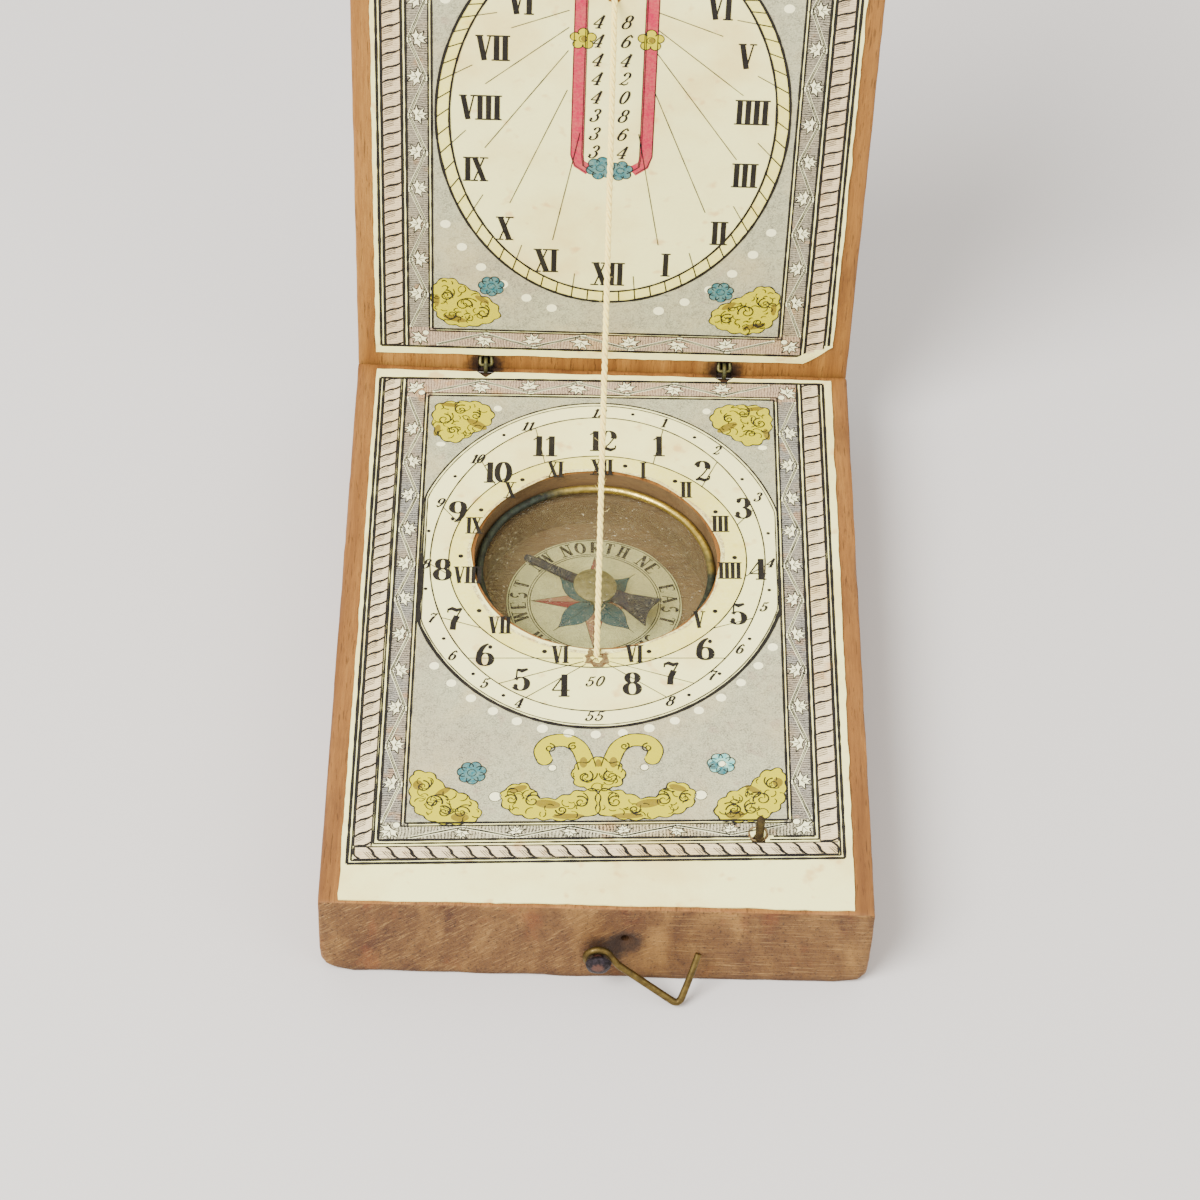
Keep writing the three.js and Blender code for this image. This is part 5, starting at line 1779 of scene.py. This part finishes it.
# ---- compass ---------------------------------------------------------------------------------
def add_compass():
    x, y = WELL.x, WELL.y
    low, high = glass_low.z, glass_high.z
    edge = WELL_RADIUS - 0.2
    profile = [(0, low), (edge - 0.1, low), (edge, low + 0.12)]
    profile += [(edge, high - 0.2), (edge - 0.25, high), (0, high)]
    points, faces = lathe(profile, 96, (x, y, 0))
    for i, point in enumerate(points):
        away = point - Vector((x, y, point.z))
        if away.length > 5:
            chip = max(0.0, noise.noise(away.normalized() * 5) - 0.25) * 0.9
            points[i] = point - away.normalized() * chip
    piece("round_glass", points, faces, GLASS, "base", "glass", sharp=35, replaces="compass_glass")

    ring_z = high + 0.02 + 0.45
    path = []
    for i in range(121):
        t = math.radians(-67.5 + 355 * i / 120)
        reach = WELL_RADIUS - 0.55 + 0.05 * noise.noise(Vector((4 * math.cos(t), 4 * math.sin(t), 0)))
        height = ring_z + 0.05 * noise.noise(Vector((t * 2, 1, 0)))
        path.append((x + reach * math.cos(t), y + reach * math.sin(t), height))
    wire = tube(path, RING_WIRE_RADIUS, 12)
    piece("sprung_ring", *wire, RING_WIRE, "base", "brass", sharp=60, replaces="glass_ring")

    low, high = rose_low.z, rose_high.z
    profile = [(0.46, low), (9.35, low), (9.38, high - 0.02), (9.3, high), (0.46, high)]
    points, faces = lathe(profile + profile[:1], 96, (x, y, 0))
    for i, point in enumerate(points):
        away = point - Vector((x, y, point.z))
        if away.length > 5:
            points[i] = point + away.normalized() * 0.12 * (noise.noise(away.normalized() * 3) - 0.3)
    piece("card", points, faces, ROSE_PAPER, "base", "printed_paper", sharp=35, replaces="compass_rose")


# ---- wire and nail ---------------------------------------------------------------------------
def bend(start, corner, end, steps=8):
    """A curved run between two straight ones."""
    start, corner, end = Vector(start), Vector(corner), Vector(end)
    shares = [i / steps for i in range(steps + 1)]
    return [start * (1 - t) ** 2 + corner * (2 * t * (1 - t)) + end * (t * t) for t in shares]


def add_hinges():
    into_base, into_lid = Vector((0, -1, -1)).normalized(), Vector((0, 1, 1)).normalized()
    for x, side in zip(hinge_x, ("left", "right")):
        centre = Vector((x, hinge.y, hinge.z))
        path = []
        for i in range(33):
            turn = math.radians(249 + 328 * i / 32)
            path.append(centre + (BACK * math.cos(turn) + UP * math.sin(turn)) * HINGE_RING_RADIUS)
        path += bend(path[-1], centre + into_base * 0.95, centre + into_base * 1.4, 5)[1:]
        path.append(centre + into_base * HINGE_SHANK_END)
        wire = tube(path, HINGE_WIRE_RADIUS, 10)
        piece("ring_eye_" + side, *wire, HINGE_WIRE, "base", "brass", sharp=60, replaces="base_eye_" + side)

        legs = [centre + ACROSS * s * STAPLE_HALF_WIDTH for s in (-1, 1)]
        path = [legs[0] + into_lid * HINGE_SHANK_END]
        path += bend(legs[0] + into_lid * 0.3, legs[0], legs[0] + ACROSS * 0.3)
        path += bend(legs[1] - ACROSS * 0.3, legs[1], legs[1] + into_lid * 0.3)
        path.append(legs[1] + into_lid * HINGE_SHANK_END)
        wire = tube(path, HINGE_WIRE_RADIUS, 10)
        piece("staple_" + side, *wire, HINGE_WIRE, "lid", "brass", sharp=60, replaces="lid_eye_" + side)


# The nail, from its point to the top of its head: (radius, reach out of the base's end).
NAIL = [
    (0, -7.0), (0.15, -6.9), (0.5, -6.0), (0.5, 1.30), (1.0, 1.42), (1.22, 1.6), (1.2, 1.85),
    (0.85, 2.1), (0.4, 2.2), (0, 2.22),
]


def add_nail():
    points, faces = lathe(NAIL, 28)
    placed = []
    for point in points:
        dent = 1 + 0.09 * noise.noise(point * 1.6) if point.z > 1 else 1
        placed.append((nail_axis.x + point.x * dent, base_low.y - point.z, nail_axis.z + point.y * dent))
    piece("rose_nail", placed, faces, IRON, "base", "iron", sharp=50, replaces="latch_nail")


def add_hook():
    path = []
    for i in range(37):
        t = i / 36
        turn = math.radians(18 + (1 - t) * 285)
        across, up = HOOK_EYE_RADIUS * math.cos(turn), HOOK_EYE_RADIUS * math.sin(turn)
        path.append(Vector((across, -0.75 - 0.12 * t, up)))
    shank, corner, tip = Vector((2.0, -1.15, -0.72)), Vector((8.0, -3.55, -3.72)), Vector((9.75, -0.75, 0.9))
    path += bend(path[-1], (1.5, -0.95, -0.2), shank)[1:]
    path += bend(corner.lerp(shank, 0.12), corner, corner.lerp(tip, 0.17))
    path.append(corner.lerp(tip, 0.6) + Vector((0.05, 0, 0)))
    path.append(tip)
    path = [p + Vector((nail_axis.x, base_low.y, nail_axis.z)) for p in path]
    wire = tube(path, HOOK_WIRE_RADIUS, 14, taper=lambda t: 1 if t < 0.97 else 0.9)
    piece("wire_hook", *wire, HOOK_WIRE, "latch", "brass", sharp=60, replaces="latch_hook")


def add_peg():
    low, high = peg_low.z, peg_high.z
    profile = [(0, low), (0.3, low + 0.3), (PEG_RADIUS, low + 0.9)]
    profile += [(PEG_RADIUS, high - 0.25), (0.3, high - 0.03), (0, high)]
    points, faces = lathe(profile, 20, (peg_mid.x, peg_mid.y, 0))
    points = [Vector((p[0] + 0.02 * noise.noise(Vector(p) * 2), p[1], p[2])) for p in points]
    piece("standing_peg", points, faces, PEG_WIRE, "base", "brass", sharp=50, replaces="locating_peg")


# ---- finishes of the frame's own pieces ------------------------------------------------------
def dress_nodes():
    for name, material in (("pivot_pin", BRASS), ("compass_needle", BLUED), ("needle_cap", CAP_BRASS)):
        node = bpy.data.objects[name]
        node.data.materials.clear()
        node.data.materials.append(material)


# ---- stage -----------------------------------------------------------------------------------
def add_stage():
    bpy.ops.mesh.primitive_plane_add(size=3, location=(0, 0, 0))
    floor = bpy.context.object
    floor.name = "floor"
    recipe = Recipe("pale_floor", roughness=0.9)
    recipe.set("Base Color", (*srgb(204, 199, 194), 1))
    recipe.set("Specular IOR Level", 0.1)
    floor.data.materials.append(recipe.material)
    world = bpy.data.worlds.new("studio")
    bpy.context.scene.world = world
    world.use_nodes = True
    world.node_tree.nodes["Background"].inputs["Color"].default_value = (1.0, 0.99, 0.975, 1)
    world.node_tree.nodes["Background"].inputs["Strength"].default_value = 1.45
    for name, place, size, power in (
        ("window", (-0.42, -0.42, 0.66), 0.5, 17.5),
        ("fill", (0.55, -0.45, 0.5), 0.5, 1.6),
    ):
        lamp = in_scene(name, bpy.data.lights.new(name, "AREA"))
        lamp.data.shape = "DISK"
        lamp.data.size = size
        lamp.data.energy = power
        lamp.location = place
        lamp.rotation_euler = (-Vector(place)).to_track_quat("-Z", "Y").to_euler()


add_camera()
add_thread()
add_knots()
add_base_wood()
add_lid_wood()
add_papers()
add_compass()
add_hinges()
add_nail()
add_hook()
add_peg()
dress_nodes()
add_stains()
print_base()
print_lid()
print_rose()
add_stage()
